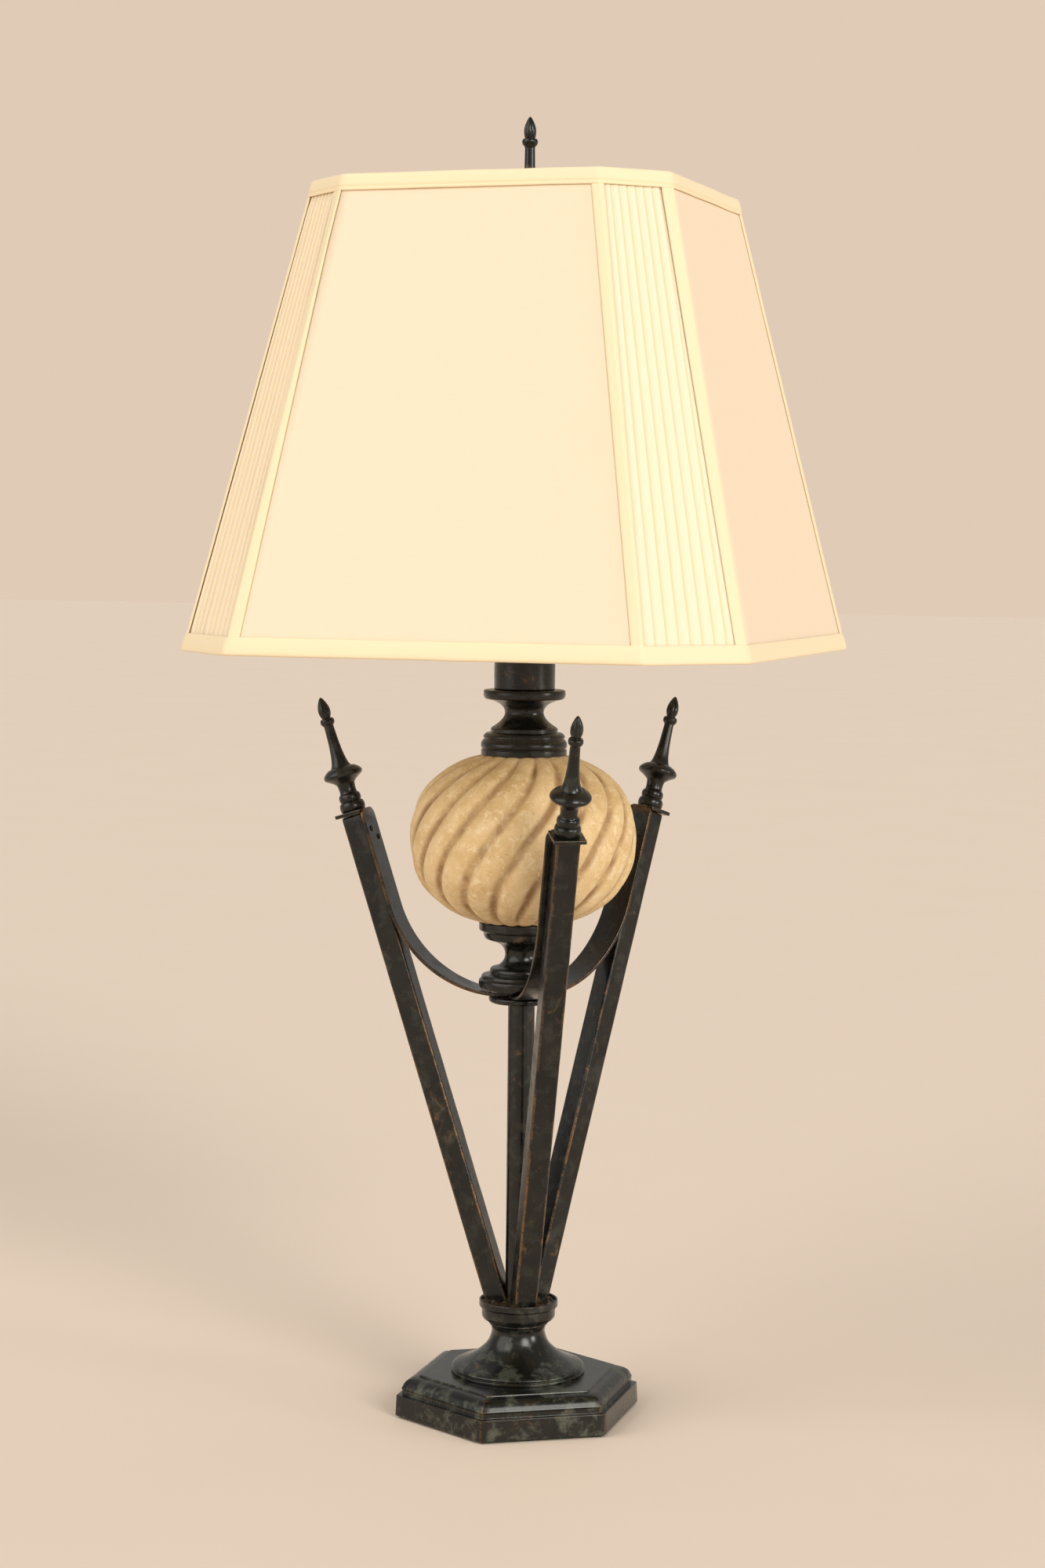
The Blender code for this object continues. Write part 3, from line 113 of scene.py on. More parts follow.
class Finish:
    """A material being put together: its nodes, and the shader that they feed."""

    def __init__(self, name, **constants):
        self.material = bpy.data.materials.new(name)
        self.material.use_nodes = True
        self.tree = self.material.node_tree
        self.shader = self.tree.nodes["Principled BSDF"]
        self.feed(**constants)

    def put(self, socket, value):
        if isinstance(value, Wire):
            self.tree.links.new(value.socket, socket)
        elif socket.type == "RGBA":
            socket.default_value = (*value, 1.0)
        else:
            socket.default_value = value

    def node(self, kind, settings=None, inputs=None, output=0):
        made = self.tree.nodes.new(kind)
        for name, value in (settings or {}).items():
            setattr(made, name, value)
        for name, value in (inputs or {}).items():
            self.put(made.inputs[name], value)
        return Wire(self, made.outputs[output])

    def feed(self, **values):
        """Shader sockets by name, with underscores for spaces."""
        for name, value in values.items():
            self.put(self.shader.inputs[name.replace("_", " ")], value)

    def place(self, stretch=(1, 1, 1), turn=(0, 0, 0)):
        """Object coordinates, stretched and turned."""
        where = self.node("ShaderNodeTexCoord", output="Object")
        inputs = {"Vector": where, "Scale": stretch, "Rotation": turn}
        return self.node("ShaderNodeMapping", None, inputs)

    def clouds(self, scale, detail=4, roughness=0.55, distortion=0.0, where=None):
        inputs = {"Vector": where or self.place(), "Scale": scale, "Detail": detail,
                  "Roughness": roughness, "Distortion": distortion}
        return self.node("ShaderNodeTexNoise", None, inputs)

    def mark(self, name):
        """A value stored on the mesh."""
        return self.node("ShaderNodeAttribute", {"attribute_name": name}, output="Fac")

    def mix(self, share, first, second):
        made = self.tree.nodes.new("ShaderNodeMix")
        made.data_type = "RGBA"
        for index, value in ((0, share), (6, first), (7, second)):
            self.put(made.inputs[index], value)
        return Wire(self, made.outputs[2])

    def relief(self, height, depth, strength=1.0):
        """Bump from a height between 0 and 1, of that depth in metres."""
        inputs = {"Height": height, "Distance": depth, "Strength": strength}
        return self.node("ShaderNodeBump", None, inputs)


def linear(red, green, blue):
    """A colour given in display values from 0 to 255."""
    shares = (red / 255, green / 255, blue / 255)
    return tuple(s / 12.92 if s <= 0.04045 else ((s + 0.055) / 1.055) ** 2.4 for s in shares)


def patinated_bronze():
    """Nearly black, with grey-green bloom in blotches, and brown where hands and cloths rub it."""
    finish = Finish("patinated_bronze", Coat_Weight=0.30, Coat_Roughness=0.20, Specular_IOR_Level=0.4)
    broad = finish.clouds(24, detail=5, distortion=0.6)
    blotch = finish.clouds(62, detail=6, roughness=0.62, distortion=0.35)
    fine = finish.clouds(520, detail=3, roughness=0.7)
    turned_place = finish.place((1, 1, 1), (1, 2, 3))
    drawn_place = finish.place((16, 16, 1.1), (0.9, 0.55, 0))
    height = finish.node("ShaderNodeSeparateXYZ", inputs={"Vector": finish.place()}, output="Z")
    ground = finish.mix(broad.step(0.35, 0.70), linear(8, 9, 8), linear(24, 24, 19))
    bloom = blotch.step(0.48, 0.66) * (0.45 + 0.55 * fine.step(0.30, 0.65))
    low_bloom = 0.22 + 0.72 * (1 - height.step(0.04, 0.15))
    aged = finish.mix(bloom * low_bloom, ground, linear(84, 87, 74))
    tan = finish.clouds(52, detail=5, roughness=0.6, distortion=0.9, where=turned_place)
    toned = finish.mix(tan.step(0.60, 0.74) * 0.35, aged, linear(128, 100, 66))
    rub_place = finish.clouds(30, detail=5, roughness=0.65, distortion=0.8)
    handled = 0.25 + 0.75 * height.step(0.09, 0.14) * (1 - height.step(0.24, 0.44))
    scratch = finish.clouds(42, detail=5, roughness=0.7, where=drawn_place)
    arris = finish.mark("arris").step(0.35, 0.90)
    worn_edge = arris * (rub_place + 0.35 * fine).step(0.58, 0.80)
    scuffs = scratch.step(0.60, 0.70) * rub_place.step(0.46, 0.60) * handled * fine.step(0.36, 0.54)
    rubbed = (worn_edge * (0.35 + 0.50 * handled)).most(scuffs * 0.85)
    gold = finish.mix(fine, linear(92, 64, 40), linear(158, 116, 70))
    finish.feed(
        Base_Color=finish.mix(rubbed, toned, gold),
        Metallic=0.35 + 0.40 * rubbed,
        Roughness=0.20 + 0.22 * bloom + 0.10 * broad,
        Normal=finish.relief(0.5 * fine + blotch, 0.00035, 0.45),
    )
    return finish.material


def carved_stone():
    """Beige stone with chalky patches, brown specks and a fine tooth, darker brown towards the bottom of its
    grooves.
    """
    finish = Finish("carved_stone", Specular_IOR_Level=0.40)
    broad = finish.clouds(20, detail=4, distortion=0.5)
    grain = finish.clouds(260, detail=6, roughness=0.75)
    crackle = finish.clouds(130, detail=7, roughness=0.78, distortion=0.5)
    patches = finish.clouds(55, detail=6, roughness=0.7, distortion=0.4)
    groove = finish.mark("groove")
    body = finish.mix(broad.step(0.30, 0.70), linear(206, 172, 118), linear(224, 194, 145))
    mottled = finish.mix(patches.step(0.42, 0.68) * 0.55, body, linear(236, 210, 165))
    chalky = finish.mix(crackle.step(0.50, 0.64) * 0.70, mottled, linear(238, 218, 180))
    specks = finish.clouds(300, detail=4, roughness=0.8).step(0.58, 0.72)
    speckled = finish.mix(specks * 0.65, chalky, linear(156, 116, 70))
    # darker brown towards the bottom of each groove, in patches
    groove_darkening = groove.step(0.30, 1.0) * (0.25 + 0.75 * (patches * 0.5 + broad * 0.5).step(0.38, 0.60))
    finish.feed(
        Base_Color=finish.mix(groove_darkening * 0.85, speckled, linear(140, 98, 52)),
        Roughness=0.42 + 0.30 * crackle,
        Normal=finish.relief(0.6 * crackle + 0.4 * grain, 0.0016, 0.75),
    )
    return finish.material


def silk(name, pale, deep, slub=0.35):
    """Woven silk: short slubs along the weft, a faint cross weave, and painted shade, a darker colour, in its
    folds, creases and tucked edges.
    """
    finish = Finish(name, Sheen_Weight=0.15, Sheen_Roughness=0.5, Specular_IOR_Level=0.25)
    weft = finish.clouds(90, detail=5, roughness=0.6, where=finish.place((0.35, 0.35, 14)))
    warp = finish.clouds(90, detail=3, roughness=0.6, where=finish.place((9, 9, 0.4)))
    cloudy = finish.clouds(6, detail=3)
    # painted shade: where this mark is high the silk takes its deep colour
    fold_shade = finish.mark("fold_shade")
    woven = (weft.step(0.35, 0.75) * slub + warp * 0.12 + cloudy * 0.25).least(1.0)
    colour = finish.mix(woven * 0.35, pale, tuple(c * 0.93 for c in pale))
    finish.feed(
        Base_Color=finish.mix(fold_shade * 0.85, colour, deep),
        Roughness=0.66 + 0.16 * weft,
        Normal=finish.relief(weft * 0.7 + warp * 0.3, 0.00022, 0.30),
    )
    return finish.material


def plain_metal(name, pale, dark, roughness, metallic=0.9, scale=60):
    """Bare or plated metal that has dulled unevenly."""
    finish = Finish(name)
    tarnish = finish.clouds(scale, detail=5, roughness=0.6, distortion=0.5)
    fine = finish.clouds(scale * 9, detail=3)
    finish.feed(
        Base_Color=finish.mix(tarnish.step(0.38, 0.72), pale, dark),
        Metallic=metallic - 0.15 * tarnish,
        Roughness=roughness + 0.20 * tarnish + 0.05 * fine,
        Normal=finish.relief(fine, 0.0001, 0.25),
    )
    return finish.material


def dull_surface(name, pale, dark, roughness, scale=90, depth=0.0003):
    """Felt, porcelain, enamel and bakelite: no metal, a mottled colour and a fine tooth."""
    finish = Finish(name)
    mottle = finish.clouds(scale, detail=5, roughness=0.65)
    tooth = finish.clouds(scale * 14, detail=2)
    finish.feed(
        Base_Color=finish.mix(mottle.step(0.3, 0.7), pale, dark),
        Roughness=roughness + 0.12 * mottle,
        Normal=finish.relief(tooth, depth, 0.4),
    )
    return finish.material


def frosted_glass():
    """A white coated bulb: thin glass over a chalky lining."""
    finish = Finish("frosted_glass", Coat_Weight=0.6, Coat_Roughness=0.08)
    haze = finish.clouds(45, detail=3)
    finish.feed(
        Base_Color=finish.mix(haze, linear(238, 236, 228), linear(226, 223, 212)),
        Roughness=0.30 + 0.10 * haze,
        Normal=finish.relief(haze, 0.0001, 0.1),
    )
    return finish.material


BRONZE = patinated_bronze()
STONE = carved_stone()
# the second colour of each silk is the painted shade for its folds, creases and tucked edges
FLAT_SILK = silk("flat_silk", linear(239, 218, 191), linear(222, 196, 150))
PLEAT_SILK = silk("pleated_silk", linear(245, 227, 198), linear(240, 214, 140), slub=0.25)
TRIM_SILK = silk("trim_silk", linear(243, 223, 186), linear(228, 204, 150))
LINING = silk("shade_lining", linear(248, 240, 222), linear(235, 222, 195), slub=0.15)
BRASS = plain_metal("aged_brass", linear(186, 146, 76), linear(122, 92, 48), 0.28)
STEEL = plain_metal("zinc_steel", linear(176, 174, 168), linear(120, 118, 112), 0.34)
IRON = plain_metal("cast_iron", linear(74, 72, 70), linear(44, 42, 40), 0.62, metallic=0.6, scale=140)
ENAMEL = dull_surface("white_enamel", linear(232, 228, 216), linear(214, 208, 192), 0.32)
FELT = dull_surface("green_felt", linear(44, 62, 46), linear(26, 38, 28), 0.86, scale=400, depth=0.0006)
PORCELAIN = dull_surface("glazed_porcelain", linear(240, 236, 224), linear(226, 220, 204), 0.18)
BAKELITE = dull_surface("black_bakelite", linear(34, 30, 28), linear(20, 18, 17), 0.30)
GLASS = frosted_glass()


# ---------------------------------------------------------------- shaping tools
def bend(start, corner, end, steps):
    """Points along the curve that rounds a corner, from start to end."""
    shares = [step / steps for step in range(steps + 1)]
    return [start.lerp(corner, share).lerp(corner.lerp(end, share), share) for share in shares]


def rounded(corners, steps=5):
    """A chain of points through corners (across, up, rounding) in mm; no rounding keeps a corner sharp."""
    least_gap = 0.02
    points = []
    for index, corner in enumerate(corners):
        here = Vector(corner[:2])
        reach = corner[2] if len(corner) > 2 else 0
        if not reach or index in (0, len(corners) - 1):
            points.append(here)
            continue
        before = Vector(corners[index - 1][:2]) - here
        after = Vector(corners[index + 1][:2]) - here
        start = here + before.normalized() * min(reach, before.length / 2)
        end = here + after.normalized() * min(reach, after.length / 2)
        points += bend(start, here, end, steps)
    kept = points[:1]
    for point in points[1:]:
        if (point - kept[-1]).length > least_gap:
            kept.append(point)
    return kept


def guarded(points, guard=1.2, long=5.0):
    """Adds points close to both ends of long straight runs, in mm, so that wear stays on their edges."""
    full = [points[0]]
    for start, end in zip(points, points[1:]):
        run = (end - start).length
        if run > long:
            full.append(start.lerp(end, guard / run))
            full.append(end.lerp(start, guard / run))
        full.append(end)
    return full


def spun(shape, corners, steps=64):
    """Turns an outline in mm about Z. An outline that keeps off the axis is closed by its bore."""
    outline = [(point.x * MM, 0, point.y * MM) for point in guarded(rounded(corners))]
    turn_chain(shape, outline, corners[0][0] > 0, steps)


def turn_chain(shape, outline, closed, steps):
    """Turns a chain of points about Z, in metres."""
    chain = [shape.verts.new(point) for point in outline]
    edges = [shape.edges.new(pair) for pair in zip(chain, chain[1:])]
    if closed:
        edges.append(shape.edges.new((chain[-1], chain[0])))
    bmesh.ops.spin(shape, geom=chain + edges, cent=(0, 0, 0), axis=(0, 0, 1), angle=2 * math.pi,
                   steps=steps, use_merge=True)
    bmesh.ops.remove_doubles(shape, verts=shape.verts, dist=SAME_SPOT)


def soften(shape, edges, width, segments=2):
    bmesh.ops.bevel(shape, geom=edges, offset=width, affect="EDGES", segments=segments, profile=0.5,
                    material=-1)


def everything(shape):
    return shape.verts[:] + shape.edges[:] + shape.faces[:]


def cut_across(shape, spot, axis):
    """Cuts a mesh's faces along a plane and keeps both halves."""
    bmesh.ops.bisect_plane(shape, geom=everything(shape), plane_co=spot, plane_no=axis)


def mark_arrises(shape, full=0.5):
    """Stores how sharply the surface bulges at each corner: 0 if flat or hollow, 1 at an angle of full."""
    layer = shape.verts.layers.float.new("arris")
    for corner in shape.verts:
        bulge = 0.0
        for edge in corner.link_edges:
            if len(edge.link_faces) == 2:
                bulge = max(bulge, edge.calc_face_angle_signed(0.0))
        corner[layer] = min(1.0, bulge / full)


def set_out(name, shape, material):
    """Puts a finished bmesh into the scene as an object."""
    mesh = bpy.data.meshes.new(name)
    shape.to_mesh(mesh)
    shape.free()
    mesh.materials.append(material)
    piece = bpy.data.objects.new(name, mesh)
    bpy.context.scene.collection.objects.link(piece)
    return piece


def add_piece(name, shape, material, body, nodes, sharp=40):
    """Finishes a mesh as a piece of the lamp that stands for CAD nodes and rides on their body."""
    bmesh.ops.recalc_face_normals(shape, faces=shape.faces)
    mark_arrises(shape)
    piece = set_out(name, shape, material)
    piece.data.shade_smooth()
    piece.data.set_sharp_from_angle(angle=math.radians(sharp))
    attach(piece, body)
    if nodes:
        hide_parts(*nodes)


def turned_piece(name, node, corners, material=BRONZE, body="stand", steps=72):
    """A turned piece in place of a CAD node, its outline in mm above the node's foot."""
    shape = bmesh.new()
    spun(shape, corners, steps)
    bmesh.ops.translate(shape, vec=(0, 0, low(node).z), verts=shape.verts)
    add_piece(name, shape, material, body, [node])


def dress(node, material):
    """Gives a CAD node that stays as it is a better finish."""
    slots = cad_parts[node].data.materials
    slots.clear()
    slots.append(material)


def new_verts(made):
    return [item for item in made if isinstance(item, bmesh.types.BMVert)]


def arm_azimuth(number):
    return FIRST_ARM_AZIMUTH + (number - 1) * 2 * math.pi / len(ARMS)


def facing(azimuth):
    """The level direction of an azimuth."""
    return Vector((math.sin(azimuth), -math.cos(azimuth), 0))


def sway(place, scale, size):
    """A small smooth wander that differs from place to place."""
    return noise.noise(place * scale) * size


# ---------------------------------------------------------------- base
def plinth_turn():
    """Turns a six-sided piece so that its flats face the arms."""
    return FIRST_ARM_AZIMUTH - math.pi / 2 + math.pi / PLINTH_SIDES


def make_plinth():
    """Six-sided: an upright fascia, a narrow ledge, a quarter-round moulding and a flat top."""
    plate, fascia = 95.7, PLINTH_RADIUS
    corners = [
        (7, 38), (plate, 38, 0.6), (plate + 0.4, 36.6, 0.4), (plate + 1.5, 36.3, 0.5),
        (plate + 8.3, 35.6, AS_FAR), (plate + 14.0, 32.4, AS_FAR), (plate + 16.6, 27.8, 3),
        (plate + 17.6, 26.0, 0.5), (plate + 16.9, 24.8, 0.5), (plate + 17.0, 20.6, 0.4),
        (plate + 17.4, 20.1, 0.3), (fascia - 1.0, 20, 0.7), (fascia, 0.7, 0.5), (fascia - 0.8, 0),
        (fascia - 4.5, 0), (fascia - 5.5, 15.5), (91, 33.5), (7, 33.5),
    ]
    shape = bmesh.new()
    spun(shape, corners, PLINTH_SIDES)
    level = [edge for edge in shape.edges if abs(edge.verts[0].co.z - edge.verts[1].co.z) < 0.01 * MM
             and abs(edge.verts[0].co.length - edge.verts[1].co.length) < 0.01 * MM]
    bmesh.ops.subdivide_edges(shape, edges=level, cuts=13, use_grid_fill=False)
    arrises = []
    for edge in shape.edges:
        first, second = (vert.co.xy for vert in edge.verts)
        outer = min(first.length, second.length) > (plate - 3) * MM
        if outer and edge.calc_face_angle(0) > 0.5 and abs(first.angle_signed(second)) < 0.001:
            arrises.append(edge)
    soften(shape, arrises, 0.7 * MM)
    bmesh.ops.rotate(shape, matrix=Matrix.Rotation(plinth_turn(), 3, "Z"), verts=shape.verts)
    bmesh.ops.translate(shape, vec=(0, 0, low("base_plinth").z), verts=shape.verts)
    add_piece("plinth", shape, BRONZE, "stand", ["base_plinth"], sharp=30)


def make_pedestal():
    turned_piece("pedestal_bell", "pedestal", [
        (BORE, 47.7), (28.2, 47.7, 0.6), (28.6, 46.6, 1), (26.6, 44.4, 1.5), (25.2, 40.7, AS_FAR),
        (25.3, 36.7, AS_FAR), (28.4, 27.7, AS_FAR), (35.8, 20.0, AS_FAR), (44, 14.2, AS_FAR),
        (52, 10.2, AS_FAR), (59.6, 7.6, 1.5), (62.4, 6.2, 1.6), (63.0, 4.4, 0.8), (61.9, 3.4, 0.5),
        (62.2, 2.9, 0.4), (63.6, 2.4, 0.6), (63.6, 0, 0.2), (59, 0), (47, 11), (21, 30), (21, 43),
        (BORE, 43),
    ], steps=112)


def make_cup():
    """The tray that gathers the arms' feet, with a groove between its two rings."""
    turned_piece("arm_tray", "arm_cup", [
        (BORE, 9.4), (35.0, 9.4, 0.5), (35.4, 20.4, 0.4), (36.0, 21.2, 0.5), (37.3, 21.0, 0.6),
        (37.5, 15.2, 0.9), (36.4, 13.8, 0.5), (34.8, 13.3, 0.4), (33.9, 12.5, 0.3), (34.9, 11.7, 0.9),
        (35.0, 5.0, 2.0), (32.6, 2.0, 2.0), (29.6, 0.7, 0.6), (28.8, 0), (BORE, 0),
    ], steps=96)


def make_filler():
    """Lumpy brazing that fills the tray and rises a little round the arms' feet."""
    depth, rise, lump = 9.0, 5.0, 2.88
    foot_radius, heap_radius = 19, 16
    floor = low("centre_column").z
    reach = high("arm_cup").x - 2.4 * MM
    shape = bmesh.new()
    bmesh.ops.create_cone(shape, cap_ends=False, segments=72, radius1=reach, radius2=6 * MM, depth=2 * MM)
    rings = [edge for edge in shape.edges if abs(edge.verts[0].co.z - edge.verts[1].co.z) > MM]
    bmesh.ops.subdivide_edges(shape, edges=rings, cuts=22, use_grid_fill=True)
    for vert in shape.verts:
        place = Vector((vert.co.x, vert.co.y, 0))
        heap = 0.0
        for number in ARMS:
            foot = facing(arm_azimuth(number)) * foot_radius * MM
            heap = max(heap, 1 - (place - foot).length / (heap_radius * MM))
        lumps = noise.fractal(place * 170 + Vector((3, 1, 7)), 0.7, 2.2, 5)
        vert.co.z = floor + (depth + rise * heap + lump * lumps) * MM
    made = bmesh.ops.extrude_face_region(shape, geom=shape.faces[:])["geom"]
    for vert in new_verts(made):
        vert.co.z = floor + 0.4 * MM
    add_piece("brazed_filler", shape, BRONZE, "stand", [], sharp=70)


def make_column():
    top = (high("centre_column").z - low("centre_column").z) / MM
    turned_piece("middle_column", "centre_column", [
        (11.1, top), (12.4, top, 0.2), (12.7, top - 0.5, 0.4), (12.7, 0), (11.1, 0),
    ], steps=64)


def make_bushing():
    """The inlet for the flex, a black grommet in the plinth's back flat."""
    away = facing(FIRST_ARM_AZIMUTH + math.pi)
    corners = [(3.4, 3.1), (4.4, 3.2, 0.4), (6.4, 2.7, 1), (7.2, 1.2, 0.8), (7.2, 0, 0.3), (4.8, 0),
               (4.8, -9), (3.4, -9)]
    face = PLINTH_RADIUS * MM * math.cos(math.pi / PLINTH_SIDES)
    height = (low("cord_bushing").z + high("cord_bushing").z) / 2
    shape = bmesh.new()
    spun(shape, corners, 48)
    turn = away.to_track_quat("Z", "Y").to_matrix().to_4x4()
    place = Matrix.Translation(away * face + Vector((0, 0, height))) @ turn
    bmesh.ops.transform(shape, matrix=place, verts=shape.verts)
    add_piece("flex_bushing", shape, BAKELITE, "stand", ["cord_bushing"])


# ---------------------------------------------------------------- arms
def arm_place(number):
    """An arm's own axes: x outwards, z along the arm, and the origin at its finial's tip."""
    tip = max((v.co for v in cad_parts[f"arm_finial_{number}"].data.vertices), key=lambda co: co.z)
    turn = Matrix.Rotation(arm_azimuth(number) - math.pi / 2, 4, "Z") @ Matrix.Rotation(ARM_LEAN, 4, "Y")
    return Matrix.Translation(tip) @ turn


def seen_from(place, node):
    """(lowest, highest) corner of a CAD node in a turned frame."""
    back = place.inverted()
    points = [back @ v.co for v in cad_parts[node].data.vertices]
    return (Vector([min(p[axis] for p in points) for axis in range(3)]),
            Vector([max(p[axis] for p in points) for axis in range(3)]))


def bar(shape, start, end, edge, lengths):
    """A bar between two corners, its long sides cut into lengths, with softened edges."""
    size = end - start
    made = bmesh.ops.create_cube(shape, size=1.0)["verts"]
    bmesh.ops.scale(shape, vec=size, verts=made)
    bmesh.ops.translate(shape, vec=(start + end) / 2, verts=made)
    edges = [e for e in shape.edges if e.verts[0] in made]
    soften(shape, edges, edge, segments=4)
    along = [e for e in shape.edges if abs(e.verts[0].co.z - e.verts[1].co.z) > size.z / 2]
    bmesh.ops.subdivide_edges(shape, edges=along, cuts=lengths, use_grid_fill=True)


def make_arm(number):
    """A square tube cut level at its foot, its faces slightly uneven from the hammer."""
    edge_width, lengths = 2.3 * MM, 44
    unevenness = 0.16 * MM
    place = arm_place(number)
    start, end = seen_from(place, f"arm_{number}")
    half = (end.y - start.y) / 2
    shape = bmesh.new()
    bar(shape, Vector((-half, -half, start.z)), Vector((half, half, end.z)), edge_width, lengths)
    for side in (-1, 1):
        for share in (0.35, 0.7):
            for axis in (Vector((1, 0, 0)), Vector((0, 1, 0))):
                cut_across(shape, axis * side * half * share, axis)
    for vert in shape.verts:
        vert.co.x += sway(vert.co + Vector((number, 0, 0)), 55, unevenness)
        vert.co.y += sway(vert.co.yxz + Vector((0, number, 5)), 55, unevenness)
    bmesh.ops.transform(shape, matrix=place, verts=shape.verts)
    floor = low(f"arm_{number}").z
    cut = bmesh.ops.bisect_plane(shape, geom=everything(shape), plane_co=(0, 0, floor),
                                 plane_no=(0, 0, -1), clear_outer=True)["geom_cut"]
    bmesh.ops.edgeloop_fill(shape, edges=[e for e in cut if isinstance(e, bmesh.types.BMEdge)])
    add_piece(f"arm_tube_{number}", shape, BRONZE, "stand", [f"arm_{number}"])


def make_arm_cap(number):
    """The square plate between a tube and its finial."""
    place = arm_place(number)
    start, end = seen_from(place, f"arm_plate_{number}")
    shape = bmesh.new()
    bar(shape, start, end, 0.8 * MM, 1)
    middle = (start + end) / 2
    reach = (end.x - start.x) / 2 - 2.2 * MM
    for axis in (Vector((1, 0, 0)), Vector((0, 1, 0))):
        for side in (-1, 1):
            cut_across(shape, middle + axis * side * reach, axis)
    bmesh.ops.transform(shape, matrix=place, verts=shape.verts)
    add_piece(f"arm_cap_{number}", shape, BRONZE, "stand", [f"arm_plate_{number}"])


def flute(shape, foot, tip, count, depth):
    """Presses petal grooves into a turned bud that stands between two heights, in mm."""
    for vert in shape.verts:
        share = (vert.co.z / MM - foot) / (tip - foot)
        if 0 < share < 1:
            turn = math.atan2(vert.co.y, vert.co.x)
            groove = 1 - abs(math.sin(turn * count / 2)) ** 0.7
            press = 1 - depth * groove * math.sin(math.pi * share) ** 0.5
            vert.co.x *= press
            vert.co.y *= press


def make_arm_finial(number):
    """A fluted bud on a ring and a tapered stem, over a saucer, a waisted neck and two rings."""
    tall, bud_foot = 113, 92.6
    corners = [
        (0, tall), (0.9, 112.6, 0.4), (2.6, 110.4, AS_FAR), (5.0, 105.2, AS_FAR), (6.1, 100.2, AS_FAR),
        (5.6, 95.6, AS_FAR), (4.2, 92.8, 0.8), (4.3, 92.0, 0.3), (6.2, 91.6, 0.8), (7.0, 89.4, 1.5),
        (6.6, 86.6, 1.2), (5.4, 85.4, 0.8), (4.6, 84.6, 0.5), (4.7, 82, AS_FAR), (5.3, 66, AS_FAR),
        (6.6, 54, AS_FAR), (8.2, 46.6, AS_FAR), (10.2, 43.2, 1.5), (11.2, 43.0, 0.3), (11.8, 43.3, 0.4),
        (15.4, 41.4, 3), (18.6, 38.0, 2.2), (19.0, 35.8, 0.8), (18.2, 33.8, 1.5), (12.0, 30.0, 2.5),
        (8.6, 27.2, 2.0), (8.0, 22, AS_FAR), (8.1, 18.6, AS_FAR), (8.8, 17.0, 0.6), (10.0, 16.2, 1.2),
        (10.8, 13.4, 1.6), (10.3, 10.2, 1.2), (9.6, 9.3, 0.5), (11.2, 8.6, 1.2), (12.3, 5.6, 1.8),
        (12.1, 2.2, 1.2), (11.2, 0.0, 0.4), (0, 0),
    ]
    shape = bmesh.new()
    spun(shape, corners, 72)
    flute(shape, bud_foot, tall, BUD_PETALS, PETAL_DEPTH)
    bmesh.ops.translate(shape, vec=(0, 0, -tall * MM), verts=shape.verts)
    bmesh.ops.transform(shape, matrix=arm_place(number), verts=shape.verts)
    add_piece(f"arm_bud_{number}", shape, BRONZE, "stand", [f"arm_finial_{number}"], sharp=50)


def make_strap(number):
    """A flat bar riveted inside the arm's head, bent round under the orb to the middle."""
    bend_radius, end_rounding = 0.115, 0.009
    thickness, play = 0.003, 0.0003
    lengths = 6
    place = arm_place(number)
    start, end = seen_from(place, f"strap_{number}")
    tip = place.translation
    # the plane of the arm: x is the distance from the lamp's axis
    upright = Matrix.Rotation(arm_azimuth(number) - math.pi / 2, 4, "Z")
    tip_radius = Vector((tip.x, tip.y)).length
    slope = Matrix.Translation((tip_radius, 0, tip.z)) @ Matrix.Rotation(ARM_LEAN, 4, "Y")
    half_width = (end.y - start.y) / 2
    across = -(seen_from(place, f"arm_{number}")[1].y + play) - thickness
    head = slope @ Vector((across, 0, end.z))
    level = low(f"strap_{number}").z
    bend_height = level + bend_radius + thickness / 2
    shape = bmesh.new()
    corners = [(0, -half_width, 0), (thickness, -half_width, 0), (thickness, half_width, 0),
               (0, half_width, 0)]
    verts = [shape.verts.new(slope.to_3x3() @ Vector(c) + head) for c in corners]
    face = shape.faces.new(verts)
    inward = Vector((-math.cos(ARM_LEAN), 0, math.sin(ARM_LEAN)))
    down = -(slope.to_3x3() @ Vector((0, 0, 1)))
    middle = head - inward * thickness / 2
    run = (middle.z - (bend_height - bend_radius * math.sin(ARM_LEAN))) / math.cos(ARM_LEAN)
    tail = face
    for _ in range(lengths):
        made = bmesh.ops.extrude_face_region(shape, geom=[tail])["geom"]
        bmesh.ops.translate(shape, vec=down * run / lengths, verts=new_verts(made))
        if tail is not face:
            shape.faces.remove(tail)
        tail = next(g for g in made if isinstance(g, bmesh.types.BMFace))
    centre = middle + down * run + inward * bend_radius
    turned = bmesh.ops.spin(shape, geom=[tail], cent=centre, axis=(0, 1, 0), angle=math.pi / 2 - ARM_LEAN,
                            steps=36, use_merge=False)["geom_last"]
    shape.faces.remove(tail)
    tail = next(g for g in turned if isinstance(g, bmesh.types.BMFace))
    inner_end = seen_from(upright, f"strap_{number}")[0].x
    made = bmesh.ops.extrude_face_region(shape, geom=[tail])["geom"]
    left_to_go = inner_end - tail.calc_center_median().x
    bmesh.ops.translate(shape, vec=(left_to_go, 0, 0), verts=new_verts(made))
    shape.faces.remove(tail)
    bmesh.ops.remove_doubles(shape, verts=shape.verts, dist=SAME_SPOT)
    head_corners = [e for e in face.edges if abs(e.verts[0].co.y - e.verts[1].co.y) < 0.1 * MM]
    soften(shape, head_corners, end_rounding, segments=7)
    soften(shape, [e for e in shape.edges if e.calc_face_angle(0) > 1.0], 0.5 * MM)
    for side in (-1, 1):
        cut_across(shape, Vector((0, side * (half_width - 1.7 * MM), 0)), Vector((0, 1, 0)))
    bmesh.ops.transform(shape, matrix=upright, verts=shape.verts)
    add_piece(f"orb_strap_{number}", shape, BRONZE, "stand", [f"strap_{number}"])


